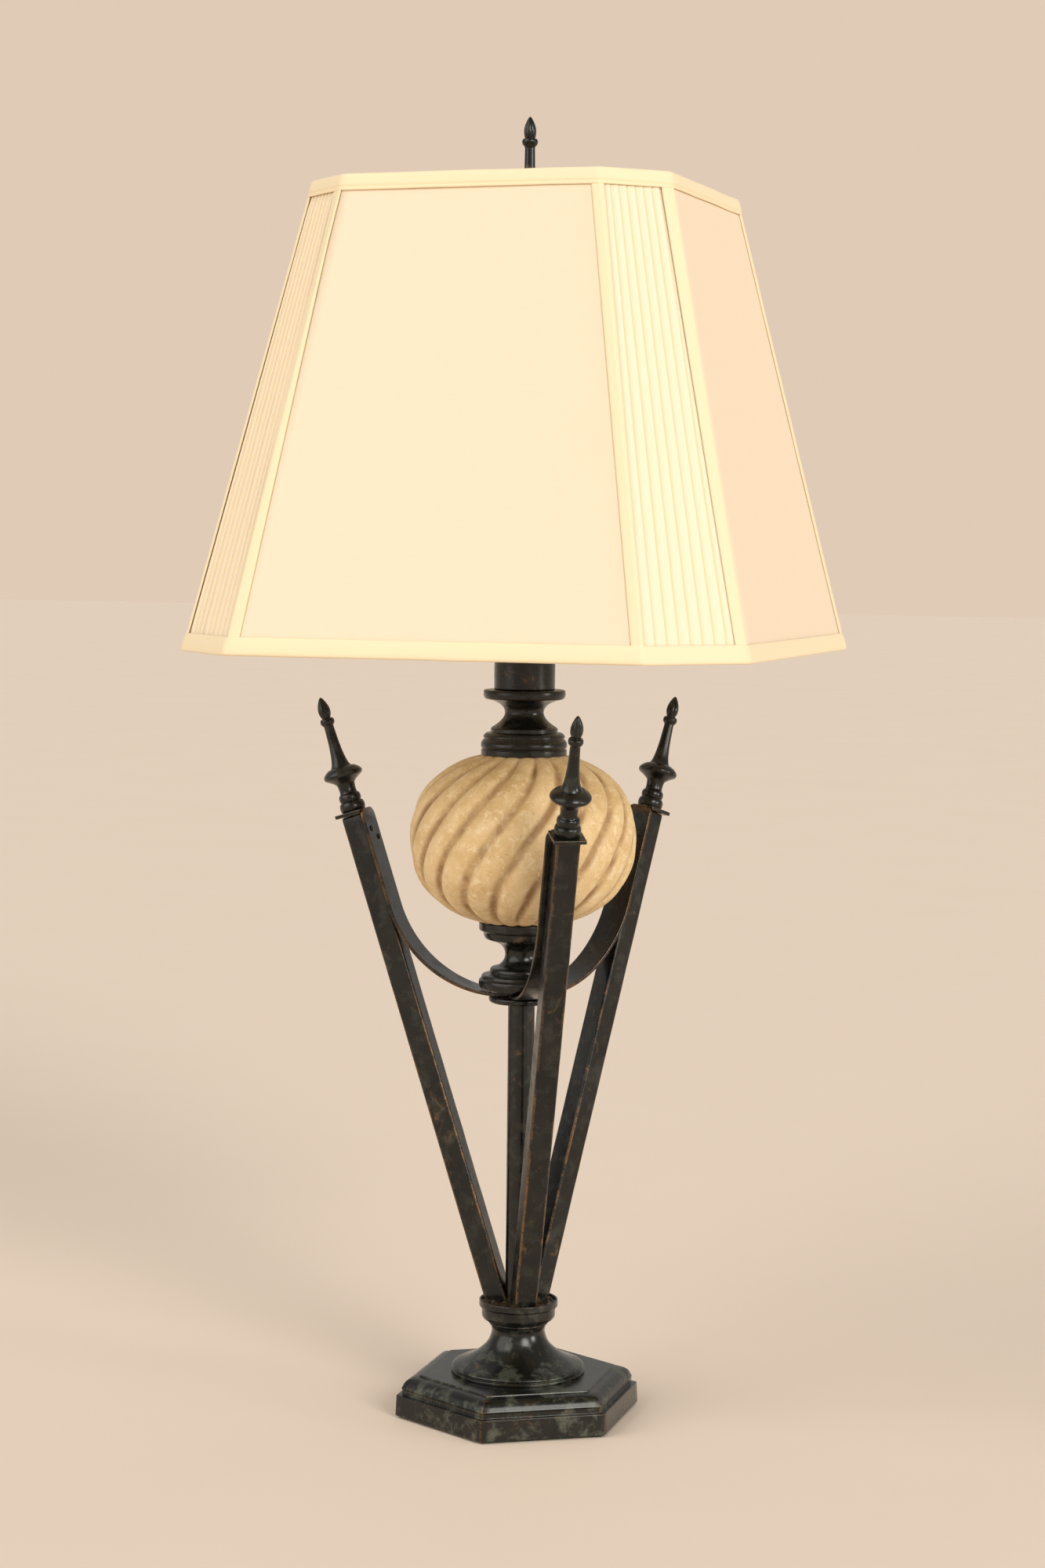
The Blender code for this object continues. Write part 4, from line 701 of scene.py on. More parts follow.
def make_rivet(number, letter):
    """A domed rivet head on the strap's face, with its shank into the tube."""
    node = f"rivet_{letter}_{number}"
    place = arm_place(number)
    start, end = seen_from(place, node)
    middle = (start + end) / 2
    shape = bmesh.new()
    dome = 1.4
    spun(shape, [(0, dome), (1.4, 1.3, AS_FAR), (2.6, 0.8, AS_FAR), (3.0, 0, 0.3), (1.7, 0), (1.7, -4),
                 (0, -4)], 32)
    foot = Matrix.Translation((start.x + dome * MM, middle.y, middle.z))
    inwards = Matrix.Rotation(-math.pi / 2, 4, "Y")
    bmesh.ops.transform(shape, matrix=place @ foot @ inwards, verts=shape.verts)
    add_piece(f"rivet_head_{letter}_{number}", shape, BRONZE, "stand", [node])


# ---------------------------------------------------------------- orb and its fittings
def make_disc():
    turned_piece("under_disc", "strap_disc", [
        (BORE, 5.6), (30.4, 5.6, 0.4), (31.1, 4.6, 0.8), (31.1, 1.8, 1.4), (29.2, 0, 0.6), (BORE, 0),
    ], steps=96)


def make_seat():
    turned_piece("turned_seat", "orb_seat", [
        (BORE, 63.7), (15, 63.7), (25, 64.4), (33, 65.6), (39, 67.0), (40.2, 67.4, 0.4), (40.8, 66.6, 0.6),
        (40.8, 60.0, 0.9), (38.8, 58.7, 0.6), (36.5, 57.6, 0.5), (36.4, 54.4, 1.4), (35.0, 51.4, 1.4),
        (29.0, 49.4, 1.6), (21.5, 47.0, AS_FAR), (17.0, 42.0, AS_FAR), (15.7, 36.3, AS_FAR),
        (17.0, 30.8, AS_FAR), (21.8, 25.8, 2), (29.2, 23.8, 1.4), (30.6, 21.0, 1.4), (30.2, 18.2, 0.6),
        (37.4, 17.2, 1.0), (38.6, 14.8, 0.8), (38.3, 14.0, 0.3), (40.5, 12.4, 1.4), (40.9, 8.4, 2.2),
        (39.4, 4.2, 1.4), (33.4, 3.3, 1.0), (32.0, 1.5, 0.8), (22.0, 0, 0.6), (BORE, 0),
    ], steps=112)


def make_collar():
    turned_piece("turned_collar", "orb_collar", [
        (BORE, 61.2), (37.2, 61.2, 0.8), (38.5, 60.0, 1.2), (38.6, 55.6, 1.6), (37.0, 52.6, 1.0),
        (30.4, 51.2, 1.0), (23.4, 48.2, AS_FAR), (19.0, 43.8, AS_FAR), (17.9, 39.2, AS_FAR),
        (19.9, 34.4, AS_FAR), (24.9, 29.4, AS_FAR), (30.2, 26.0, 1.5), (31.6, 24.6, 0.7), (31.5, 21.4, 0.5),
        (35.9, 20.6, 0.8), (38.2, 18.2, 1.2), (38.4, 16.6, 0.6), (37.6, 15.2, 0.5), (38.6, 14.0, 0.8),
        (40.4, 11.6, 1.6), (40.6, 7.8, 1.2), (39.4, 6.2, 0.4), (39.4, 5.6, 0.2), (40.3, 5.0, 0.5),
        (40.3, 0.2, 0.3), (39.0, 0.3), (33.0, 1.9), (25.0, 3.1), (15.0, 3.7), (BORE, 3.7),
    ], steps=112)


ORB_RADIUS = 0.1065
ORB_MOUTH = 0.0140               # radius of its openings for the rod
ORB_CENTRE = (low("orb").z + high("orb").z) / 2
ORB_HALF = high("orb").z - ORB_CENTRE
ORB_SQUARENESS = 2.3             # 2 would be an ellipse
ORB_LOBES = 18
ORB_GROOVE = 0.0042
ORB_SWIRL_ABOVE = math.radians(36)
ORB_SWIRL_BELOW = math.radians(27)
ORB_START = math.radians(7.5)    # where a groove crosses the middle, from +X


def orb_mouth():
    """Where the outline meets the openings for the rod."""
    return math.asin((ORB_MOUTH / ORB_RADIUS) ** (ORB_SQUARENESS / 2))


def orb_outline(angle):
    """(radius, height) of the orb's outside, from its top at 0 to its underside at pi."""
    power = 2 / ORB_SQUARENESS
    half = ORB_HALF / math.cos(orb_mouth()) ** power
    side = math.copysign(abs(math.cos(angle)) ** power, math.cos(angle))
    return ORB_RADIUS * math.sin(angle) ** power, ORB_CENTRE + half * side


def groove_at(turn, rise):
    """Depth of the swirled groove: 0 on a lobe's crown, most in the valley. Rise runs from -1 to 1."""
    swirl = turn - (ORB_SWIRL_ABOVE if rise > 0 else ORB_SWIRL_BELOW) * rise - ORB_START
    crown = abs(math.sin(swirl * ORB_LOBES / 2))
    return (1 - crown) ** 1.6 + 0.25 * (1 - crown ** 2)


def make_orb():
    """A carved shell: rounded lobes that swirl round it, dying away at the seat and the collar."""
    rings, steps = 110, ORB_LOBES * 14
    fade_start, fade_length = 0.030, 0.035
    mouth = orb_mouth()
    outline = []
    for step in range(rings + 1):
        radius, height = orb_outline(mouth + (math.pi - 2 * mouth) * step / rings)
        outline.append((radius, 0, height))
    shape = bmesh.new()
    turn_chain(shape, outline, True, steps)
    groove = shape.verts.layers.float.new("groove")
    for vert in shape.verts:
        radius = vert.co.xy.length
        rise = (vert.co.z - ORB_CENTRE) / ORB_HALF
        turn = math.atan2(vert.co.y, vert.co.x)
        fade = min(1.0, max(0.0, (radius - fade_start) / fade_length))
        valley = groove_at(turn + sway(vert.co, 22, 0.045), rise) * fade
        chisel = noise.fractal(vert.co * 60, 0.8, 2.1, 4) * 0.35 * MM
        out = Vector((vert.co.x, vert.co.y, (vert.co.z - ORB_CENTRE) * 1.4)).normalized()
        if radius > ORB_MOUTH + MM:
            vert.co -= out * (valley * ORB_GROOVE + chisel)
        vert[groove] = valley
    add_piece("carved_orb", shape, STONE, "stand", ["orb"], sharp=80)


def make_neck():
    tall = (high("neck_cover").z - low("neck_cover").z) / MM
    turned_piece("neck_sleeve", "neck_cover", [
        (27.2, tall), (28.3, tall, 0.3), (28.6, tall - 0.6, 0.3), (28.6, 0.8, 0.4), (28.2, 0), (27.2, 0),
    ], steps=96)
    turned_piece("neck_cap", "neck_lid", [
        (BORE, 6.8), (24, 6.8, 3), (27.6, 6.3, 0.9), (28.6, 5.0, 0.9), (28.6, 3.3), (26.9, 3.3), (26.9, 0),
        (25.7, 0), (25.7, 3.3), (BORE, 3.3),
    ], steps=96)


# ---------------------------------------------------------------- harp, socket and bulb
def wire_shape(lines, radius):
    """Round wire along each line of points; a line that comes back to its start is a closed ring."""
    curve = bpy.data.curves.new("wire", "CURVE")
    curve.dimensions = "3D"
    curve.bevel_depth = radius
    curve.bevel_resolution = 4
    curve.use_fill_caps = True
    for line in lines:
        closed = (line[0] - line[-1]).length < 0.000001
        points = line[:-1] if closed else line
        spline = curve.splines.new("POLY")
        spline.points.add(len(points) - 1)
        for spot, point in zip(spline.points, points):
            spot.co = (*point, 1)
        spline.use_cyclic_u = closed
    holder = bpy.data.objects.new("wire", curve)
    mesh = bpy.data.meshes.new_from_object(holder)
    shape = bmesh.new()
    shape.from_mesh(mesh)
    bpy.data.objects.remove(holder)
    bpy.data.curves.remove(curve)
    bpy.data.meshes.remove(mesh)
    bmesh.ops.remove_doubles(shape, verts=shape.verts, dist=0.000002)
    return shape


def smooth_line(corners, reach, steps=8):
    """A line through corners that is rounded at each of them, as far as reach."""
    points = [corners[0]]
    for before, here, after in zip(corners, corners[1:], corners[2:]):
        back, on = before - here, after - here
        start = here + back.normalized() * min(reach, back.length / 2)
        end = here + on.normalized() * min(reach, on.length / 2)
        points += bend(start, here, end, steps)
    points.append(corners[-1])
    return points


def make_harp():
    """Round brass wire that bows out past the bulb and comes in flat under the shade's hub."""
    wire = 0.0022
    foot = low("harp").z
    top = high("harp").z - wire
    half_width = high("harp").x - wire
    spread = (low("harp_sleeve_right").x + high("harp_sleeve_right").x) / 2
    shoulder = low("harp_sleeve_right").z + 0.048
    left = [Vector((-spread, 0, foot)), Vector((-spread, 0, shoulder - 0.006))]
    count = 40
    for step in range(count + 1):
        share = step / count
        bow = math.sin(min(2 * math.pi * share, math.pi) / 2) ** 1.6 if share < 0.5 else 1
        arch = math.sqrt(max(0, 1 - share ** 4.2))
        reach = (spread + (half_width - spread) * bow) * arch
        left.append(Vector((-reach, 0, shoulder + (top - shoulder) * (1 - (1 - share) ** 1.25))))
    right = [Vector((-point.x, 0, point.z)) for point in reversed(left[:-1])]
    add_piece("harp_wire", wire_shape([left + right], wire), BRASS, "stand", ["harp"], sharp=60)
    turned_piece("harp_screw", "harp_stud", [
        (0, 17.5), (2.5, 17.5, 0.4), (3.1, 16.8, 0.4), (3.1, 5.2, 0.3), (3.6, 4.5, 0.3), (6.1, 4.5, 0.5),
        (6.5, 3.9, 0.4), (6.5, 0.5, 0.4), (6.0, 0), (0, 0),
    ], BRASS, "stand", steps=40)


def make_sleeves():
    """Each sleeve drops over a foot of the harp to lock it."""
    for side in ("left", "right"):
        node = f"harp_sleeve_{side}"
        middle = (low(node).x + high(node).x) / 2
        shape = bmesh.new()
        spun(shape, [(2.5, 16), (3.2, 16, 0.3), (3.7, 15.2, 0.6), (3.7, 3.2, 0.6), (4.7, 2.2, 0.5),
                     (4.7, 0.3, 0.3), (4.4, 0), (2.5, 0)], 40)
        bmesh.ops.translate(shape, vec=(middle, 0, low(node).z), verts=shape.verts)
        add_piece(f"lock_sleeve_{side}", shape, BRASS, f"sleeve_{side}", [node])


def make_socket():
    """A domed brass cap, and a shell with a rolled lip and a bead round it."""
    turned_piece("socket_dome", "socket_cap", [
        (17.7, 18), (18.5, 18, 0.2), (18.9, 17.2, 0.5), (18.5, 16.4, 0.3), (18.5, 12.5, 2.0),
        (16.6, 7.6, AS_FAR), (11.5, 3.0, AS_FAR), (8.5, 2.4, 0.6), (8.5, 0, 0.3), (BORE, 0), (BORE, 6),
        (13.5, 7), (17.7, 13),
    ], BRASS, "stand")
    turned_piece("socket_body", "socket_shell", [
        (16.7, 46), (17.4, 46.2, 0.3), (17.9, 45.5, 0.5), (17.5, 44.6, 0.4), (17.5, 30.2, 0.2),
        (17.8, 29.6, 0.2), (17.5, 29.0, 0.2), (17.5, 18.2, 0.5), (18.5, 16.4, 0.5), (18.5, 0.6, 0.3),
        (18.1, 0), (17.7, 0), (17.7, 15.6), (16.7, 17.6),
    ], BRASS, "stand")


def make_knob():
    """A fluted knob on a thin shaft that faces the front, with a small ring where it leaves the shell."""
    node = "switch_knob"
    flutes, flute_depth, fluted_from = 12, 0.05, 4.5 * MM
    socket_radius = 18.5 * MM
    height = (low(node).z + high(node).z) / 2
    shape = bmesh.new()
    spun(shape, [(0, 30), (3.4, 30, 1.2), (5.2, 29.2, 1.0), (5.9, 27.6, 0.8), (5.9, 18.6, 1.0),
                 (4.4, 15.8, 1.5), (3.3, 14.2, 0.5), (2.0, 14.0), (2.0, 0.3), (0, 0.3)], 96)
    for vert in shape.verts:
        if vert.co.xy.length > fluted_from:
            turn = math.atan2(vert.co.y, vert.co.x)
            press = 1 - flute_depth * (0.5 + 0.5 * math.cos(turn * flutes))
            vert.co.x *= press
            vert.co.y *= press
    place = Matrix.Translation((0, -socket_radius, height)) @ Matrix.Rotation(math.pi / 2, 4, "X")
    bmesh.ops.transform(shape, matrix=place, verts=shape.verts)
    add_piece("fluted_knob", shape, BAKELITE, "switch_knob", [node])
    collar = bmesh.new()
    spun(collar, [(2.3, 1.2), (3.4, 1.2, 0.4), (3.6, 0.2, 0.2), (3.6, -0.9), (2.3, -0.9)], 40)
    bmesh.ops.transform(collar, matrix=place, verts=collar.verts)
    add_piece("switch_ring", collar, BRASS, "stand", [])


def make_bulb():
    """A white bulb on a threaded brass cap."""
    turns, thread_pitch, thread_foot = 6, 2.6, 6.6
    thread = [(0, 0), (4.6, 0, 0.4), (5.2, 1.2, 0.4), (9.0, 4.0, 0.6), (12.2, 6.0, 0.6)]
    for turn in range(turns):
        foot = thread_foot + turn * thread_pitch
        thread += [(13.1, foot + 0.7, 0.7), (12.3, foot + 2.0, 0.6)]
    thread += [(12.4, 23.4, 0.4), (13.0, 24.2, 0.4), (12.9, 26.0, 0.2), (11.5, 26.0), (11.5, 7.0), (5.0, 2.0),
               (0, 1.5)]
    turned_piece("bulb_thread", "bulb_cap", thread, BRASS, "bulb", steps=64)
    tall, ball = 98.0, 30.0
    angles = [math.radians(5 * step) for step in range(22)]
    dome = [(ball * math.sin(angle), tall - ball + ball * math.cos(angle)) for angle in angles]
    tail = [(25.0, 42.0, AS_FAR), (17.6, 25.0, AS_FAR), (13.2, 12.0, AS_FAR), (12.5, 0.6, 0.3), (12.0, 0)]
    inside = [(11.5, 0), (12.2, 12), (16.6, 25.4), (27.8, 58), (28.6, 72), (22, 88), (12, 94.6), (0, 97)]
    turned_piece("bulb_envelope", "bulb_glass", dome + tail + inside, GLASS, "bulb", steps=64)


# ---------------------------------------------------------------- shade
SIDES = ("front", "front_right", "right", "back_right", "back", "back_left", "left", "front_left")
FLAT_SIDES = range(0, len(SIDES), 2)


def ring_size(node, height):
    """(how far a flat stands off, half a flat's length) of an eight-sided ring at a height."""
    corners = [v.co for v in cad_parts[node].data.vertices if abs(v.co.z - height) < 0.0001]
    half = max(co.y for co in corners)
    return half, max(co.x for co in corners if half - co.y < 0.0001)


SHADE_LOW = low("trim_bottom").z
SHADE_HIGH = high("trim_top").z
BOTTOM_HALF, BOTTOM_REACH = ring_size("trim_bottom", SHADE_LOW)
TOP_HALF, TOP_REACH = ring_size("trim_top", SHADE_HIGH)
TOP_BAND = SHADE_HIGH - low("trim_top").z
BOTTOM_BAND = high("trim_bottom").z - SHADE_LOW
WIRE_RADIUS = 0.0016
WIRE_INSET = 0.0055              # from the shade's outer face to the middle of its wires
RING_INSET = 0.0040              # from the shade's edges down or up to its rings
STRIP_WIDTH = 12.5               # of the bias strips over the seams, mm
EDGE_GAP = 0.0012                # the silk stops this far from the shade's edges
# how far the strips cover a cut corner, in mm: its start at the top and the bottom, then its end
SIDE_MARGINS = {
    "front_right": (4, 3, 12, 11),
    "back_right": (5, 4, 11, 8),
    "back_left": (5, 4, 11, 8),
    "front_left": (4, 4, 13, 1.5),
}


def between_edges(share, gap):
    """The height at a share of the way up the shade, when its lowest and highest stop short by a gap."""
    return SHADE_LOW + gap + (SHADE_HIGH - SHADE_LOW - 2 * gap) * share


def length_of(points, closed=False):
    following = points[1:] + points[:1] if closed else points[1:]
    return sum((end - start).length for start, end in zip(points, following))


def shade_outline(height, inset):
    """The shade's eight corners at a height, set in along the normal, from the front's left end round."""
    share = (height - SHADE_LOW) / (SHADE_HIGH - SHADE_LOW)
    rise = SHADE_HIGH - SHADE_LOW
    flat_slope = math.hypot(1, (BOTTOM_HALF - TOP_HALF) / rise)
    corner_bottom = (BOTTOM_HALF + BOTTOM_REACH) / math.sqrt(2)
    corner_top = (TOP_HALF + TOP_REACH) / math.sqrt(2)
    corner_slope = math.hypot(1, (corner_bottom - corner_top) / rise)
    corner = corner_bottom + (corner_top - corner_bottom) * share - inset * corner_slope
    half = BOTTOM_HALF + (TOP_HALF - BOTTOM_HALF) * share - inset * flat_slope
    reach = corner * math.sqrt(2) - half
    flat = [(-reach, -half), (reach, -half), (half, -reach), (half, reach)]
    return [Vector((x, y, height)) for x, y in flat] + [Vector((-x, -y, height)) for x, y in flat]


def next_side(side):
    """The side, or the corner, that follows round the shade."""
    return (side + 1) % len(SIDES)


def on_side(side, along, height, inset):
    """A point on one side of the shade, so many metres from that side's start."""
    outline = shade_outline(height, inset)
    start, end = outline[side], outline[next_side(side)]
    return start + (end - start).normalized() * along


def side_width(side, height, inset=0.0):
    outline = shade_outline(height, inset)
    return (outline[next_side(side)] - outline[side]).length


def slant(side):
    """The shade's height measured along one side."""
    middles = []
    for height in (SHADE_LOW, SHADE_HIGH):
        outline = shade_outline(height, 0)
        middles.append((outline[side] + outline[next_side(side)]) / 2)
    return (middles[1] - middles[0]).length


def cloth(name, rows, material, nodes, area, thickness, fold_shades=None, closed=False):
    """A sheet of silk as a grid of rows from bottom to top, thickened inwards, riding on the shade."""
    shape = bmesh.new()
    layer = shape.verts.layers.float.new("fold_shade")
    grid = [[shape.verts.new(point) for point in row] for row in rows]
    for index, row in enumerate(grid):
        for column, vert in enumerate(row):
            # painted shade: each point's value from the given rows, 0 where none are given
            vert[layer] = fold_shades[index][column] if fold_shades else 0.0
    for lower, upper in zip(grid, grid[1:]):
        count = len(lower) if closed else len(lower) - 1
        for column in range(count):
            other = (column + 1) % len(lower)
            shape.faces.new((lower[column], lower[other], upper[other], upper[column]))
    piece = set_out(name, shape, material)
    piece.data.shade_smooth()
    solid = piece.modifiers.new("thickness", "SOLIDIFY")
    solid.thickness = thickness
    solid.offset = -1
    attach(piece, "shade")
    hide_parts(*nodes)


def make_flat_panel(side):
    """Plain silk drawn tight over a flat side, with the faintest hollow between its seams."""
    name = SIDES[side]
    inset, columns, count = 0.0019, 28, 44
    sag, ripple, margin = 0.0009, 0.0004, 0.004
    rows = []
    for row in range(count + 1):
        height = between_edges(row / count, EDGE_GAP)
        width = side_width(side, height, inset)
        points = []
        for column in range(columns + 1):
            across = column / columns
            along = width * (margin + (1 - 2 * margin) * across)
            middle = math.sin(math.pi * across)
            hollow = sag * middle * math.sin(math.pi * row / count)
            waver = sway(on_side(side, along, height, inset), 9, ripple) * middle
            points.append(on_side(side, along, height, inset + hollow + waver))
        rows.append(points)
    wide, narrow, tall = side_width(side, SHADE_LOW), side_width(side, SHADE_HIGH), slant(side)
    cloth(f"silk_{name}", rows, FLAT_SILK, [f"flat_panel_{name}"], (wide + narrow) / 2 * tall,
          0.0005)


PLEATS = 8.7                     # pitches across a cut corner
PLEAT_SECTION = (                # (across, lift) of one knife pleat, both as shares of a whole one
    (0.00, 0.05), (0.18, 0.24), (0.36, 0.44), (0.56, 0.66), (0.76, 0.86), (0.92, 0.97), (1.02, 1.00),
    (1.10, 0.95), (1.12, 0.84), (1.05, 0.72), (0.90, 0.60), (0.72, 0.46), (0.70, 0.34), (0.80, 0.20),
)
OPEN_SECTION = (                 # the same for the corner whose folds stand open
    (0.00, 0.05), (0.20, 0.25), (0.45, 0.55), (0.70, 0.82), (0.86, 0.97), (0.94, 1.00), (0.985, 0.85),
    (1.00, 0.50),
)


def make_pleats(side):
    """Knife pleats that fan out down a cut corner, pressed flat under the strips and the bands, with painted
    shade in the hollows of the folds.
    """
    name = SIDES[side]
    count = 56
    deep, proud, side_gap = 0.0031, 0.0011, 0.0004
    opened = name == "front_left"
    section = OPEN_SECTION if opened else PLEAT_SECTION
    # how dark the painted shade in the pleats' hollows gets, lighter on the corner whose folds stand open
    fold_shade_strength = 0.55 if opened else 0.9
    backwards = name == "back_right"
    start_cover, end_cover = SIDE_MARGINS[name][:2], SIDE_MARGINS[name][2:]
    rows, fold_shades = [], []
    for row in range(count + 1):
        share = row / count
        height = between_edges(share, EDGE_GAP)
        width = side_width(side, height, deep)
        pitch = width / PLEATS
        start, end = (MM * (foot + (top - foot) * share) for top, foot in (start_cover, end_cover))
        edge = min(height - SHADE_LOW - BOTTOM_BAND, SHADE_HIGH - TOP_BAND - height)
        pressed_end = 0.42 + 0.58 * min(1.0, max(0.0, edge / 0.014 + 0.25))
        points, shade_marks = [], []
        for pleat in range(int(PLEATS) + 1):
            wander = sway(Vector((pleat * 3.1, height, side)), 5, 0.05)
            uneven = 1 + sway(Vector((pleat * 2.3, height, side + 5)), 8, 0.08)
            for across, lift in section:
                along = (pleat + across + wander) * pitch
                along = min(max(along, side_gap), width - side_gap)
                if backwards:
                    along = width - along
                from_strip = min(along - start, width - end - along)
                pressed = 0.30 + 0.70 * min(1.0, max(0.0, from_strip / 0.003 + 0.3))
                depth = deep - (deep - proud) * lift * pressed * pressed_end * uneven
                points.append(on_side(side, along, height, depth))
                # painted shade: the sunk part of each pleat, where lift is low, gets the darker colour
                shade_marks.append(max(0.0, 1 - lift / 0.45) * fold_shade_strength)
        if backwards:
            points.reverse()
            shade_marks.reverse()
        rows.append(points)
        fold_shades.append(shade_marks)
    tall = slant(side)
    unfolded = [length_of(points) for points in rows]
    area = sum(unfolded) / len(unfolded) * tall
    cloth(f"pleated_silk_{name}", rows, PLEAT_SILK, [f"pleated_corner_{name}"], area,
          0.0003, fold_shades)


def make_strip(side):
    """A bias strip over the seam where one side of the shade ends and the next begins, with a painted shadow
    line along its edge on the flat side.
    """
    following = next_side(side)
    count, columns = 44, 14
    end_gap, least_on_flat = 0.006, 0.0012
    folded_edge, face_height, edge_height = 0.0012, 0.0005, 0.0009
    corner_first = side % 2 == 1
    margins = SIDE_MARGINS[SIDES[side]][2:] if corner_first else SIDE_MARGINS[SIDES[following]][:2]
    rows, fold_shades = [], []
    for row in range(count + 1):
        height = between_edges(row / count, end_gap)
        on_corner = MM * (margins[1] + (margins[0] - margins[1]) * row / count)
        on_flat = max(STRIP_WIDTH * MM - on_corner, least_on_flat)
        before, after = (on_corner, on_flat) if corner_first else (on_flat, on_corner)
        points, shade_marks = [], []
        for column in range(columns + 1):
            along = -before + (before + after) * column / columns
            from_edge = max(0.0, min(along + before, after - along))
            proud = face_height + edge_height * (1 - min(1.0, from_edge / folded_edge) ** 0.5)
            proud += sway(Vector((height, side, along)), 30, 0.00012)
            if along < 0:
                point = on_side(side, side_width(side, height, proud) + along, height, proud)
            else:
                point = on_side(following, along, height, proud)
            points.append(point)
            # painted shadow: the strip's edge on the flat side gets the darker colour, as a line of shade in
            # the gap
            shade_marks.append(1.0 if column == (columns if corner_first else 0) else 0.0)
        between = [(a + b * 2 + c) / 4 for a, b, c in zip(points, points[1:], points[2:])]
        rows.append(points[:1] + between + points[-1:])
        fold_shades.append(shade_marks)
    wide, tall = STRIP_WIDTH * MM, slant(side)
    cloth(f"seam_strip_{SIDES[side]}", rows, TRIM_SILK, [], wide * tall, 0.0004,
          fold_shades)


def round_outline(height, inset, reach=0.004, steps=4, run=22):
    """The shade's outline at a height as a close chain of points, its corners slightly rounded."""
    corners = shade_outline(height, inset)
    points = []
    for index, here in enumerate(corners):
        before, following = corners[index - 1], corners[next_side(index)]
        start = here + (before - here).normalized() * reach
        end = here + (following - here).normalized() * reach
        points += bend(start, here, end, steps)
        ahead = following + (here - following).normalized() * reach
        for step in range(1, run):
            points.append(end.lerp(ahead, step / run))
    return points


def make_band(name, node, edge, upwards, section):
    """Silk wrapped over a ring of the shade; its section is (inset, away from the edge) in mm, then the
    painted shade at that row from 0 to 1.
    """
    rows, fold_shades = [], []
    for inset, away, fold_shade in section:
        height = edge + (away if upwards else -away) * MM
        row = []
        slack = 1 if away > 0.5 else 0.3
        for point in round_outline(height, inset * MM):
            outward = Vector((point.x, point.y, 0)).normalized()
            lift = Vector((0, 0, sway(point.yxz, 22, 0.0004)))
            row.append(point + outward * (sway(point, 26, 0.00035) * slack) + lift)
        rows.append(row)
        fold_shades.append([fold_shade] * len(row))
    if upwards:
        rows.reverse()
        fold_shades.reverse()
    around = length_of(rows[len(section) // 3], closed=True)
    wide = sum(math.hypot(b[0] - a[0], b[1] - a[1]) for a, b in zip(section, section[1:])) * MM
    cloth(name, rows, TRIM_SILK, [node], around * wide * 0.995, 0.0005, fold_shades,
          closed=True)


def make_bands():
    top = TOP_BAND / MM
    # painted shade in the third figure of each row: darkest where each band's silk tucks in along its edge
    # away from the rim, and a faint line along the top band's crease
    make_band("top_band", "trim_top", SHADE_HIGH, False, [
        (1.5, top - 0.6, 1.0), (0.9, top, 0.7), (0.25, top - 0.2, 0.2), (-0.1, top - 1.2, 0),
        (-0.15, top - 2.4, 0), (0.0, top - 3.2, 0.35), (0.1, top - 3.6, 0.5), (-0.25, top - 4.1, 0.1),
        (-0.45, top - 6, 0), (-0.5, 5.5, 0), (-0.45, 3.0, 0), (-0.2, 1.2, 0), (0.5, 0.3, 0),
        (1.6, -0.1, 0), (3.4, -0.2, 0), (5.4, 0.1, 0), (6.8, 0.8, 0), (7.4, 2.2, 0), (7.5, 5, 0),
        (7.5, 9, 0),
    ])
    deep = BOTTOM_BAND / MM
    make_band("bottom_band", "trim_bottom", SHADE_LOW, True, [
        (1.5, deep - 0.6, 0.9), (0.9, deep, 0.5), (0.2, deep - 0.3, 0.1), (-0.3, deep - 1.6, 0),
        (-0.7, deep - 4, 0), (-0.9, deep - 7, 0), (-0.95, 7, 0), (-0.8, 4.4, 0), (-0.4, 2.2, 0),
        (0.4, 0.8, 0), (1.8, 0.1, 0), (3.6, 0.0, 0), (5.4, 0.2, 0), (6.8, 1.0, 0), (7.4, 2.4, 0),
        (7.5, 5, 0), (7.5, 9, 0),
    ])


def make_lining():
    """The cream lining behind the silk, seen from below."""
    inset, end_gap, count = 0.0035, 0.002, 24
    heights = [between_edges(row / count, end_gap) for row in range(count + 1)]
    rows = [round_outline(height, inset, run=8) for height in heights]
    around = [length_of(row, closed=True) for row in (rows[0], rows[-1])]
    tall = slant(0)
    cloth("cream_lining", rows, LINING, [], sum(around) / 2 * tall, 0.0004,
          closed=True)


def make_shade_frame():
    """Two wire rings, a rib at every corner, and a hub on four dropped arms."""
    tall = (SHADE_LOW + RING_INSET, SHADE_HIGH - RING_INSET)
    rings = []
    for height in tall:
        ring = round_outline(height, WIRE_INSET, reach=0.008, steps=6, run=2)
        rings.append(ring + ring[:1])
    ribs = list(zip(shade_outline(tall[0], WIRE_INSET), shade_outline(tall[1], WIRE_INSET)))
    shape = wire_shape(rings, WIRE_RADIUS)
    mesh = bpy.data.meshes.new("ribs")
    rib_shape = wire_shape(ribs, WIRE_RADIUS * 0.85)
    rib_shape.to_mesh(mesh)
    rib_shape.free()
    shape.from_mesh(mesh)
    bpy.data.meshes.remove(mesh)
    add_piece("wire_frame", shape, ENAMEL, "shade", ["shade_frame"], sharp=60)


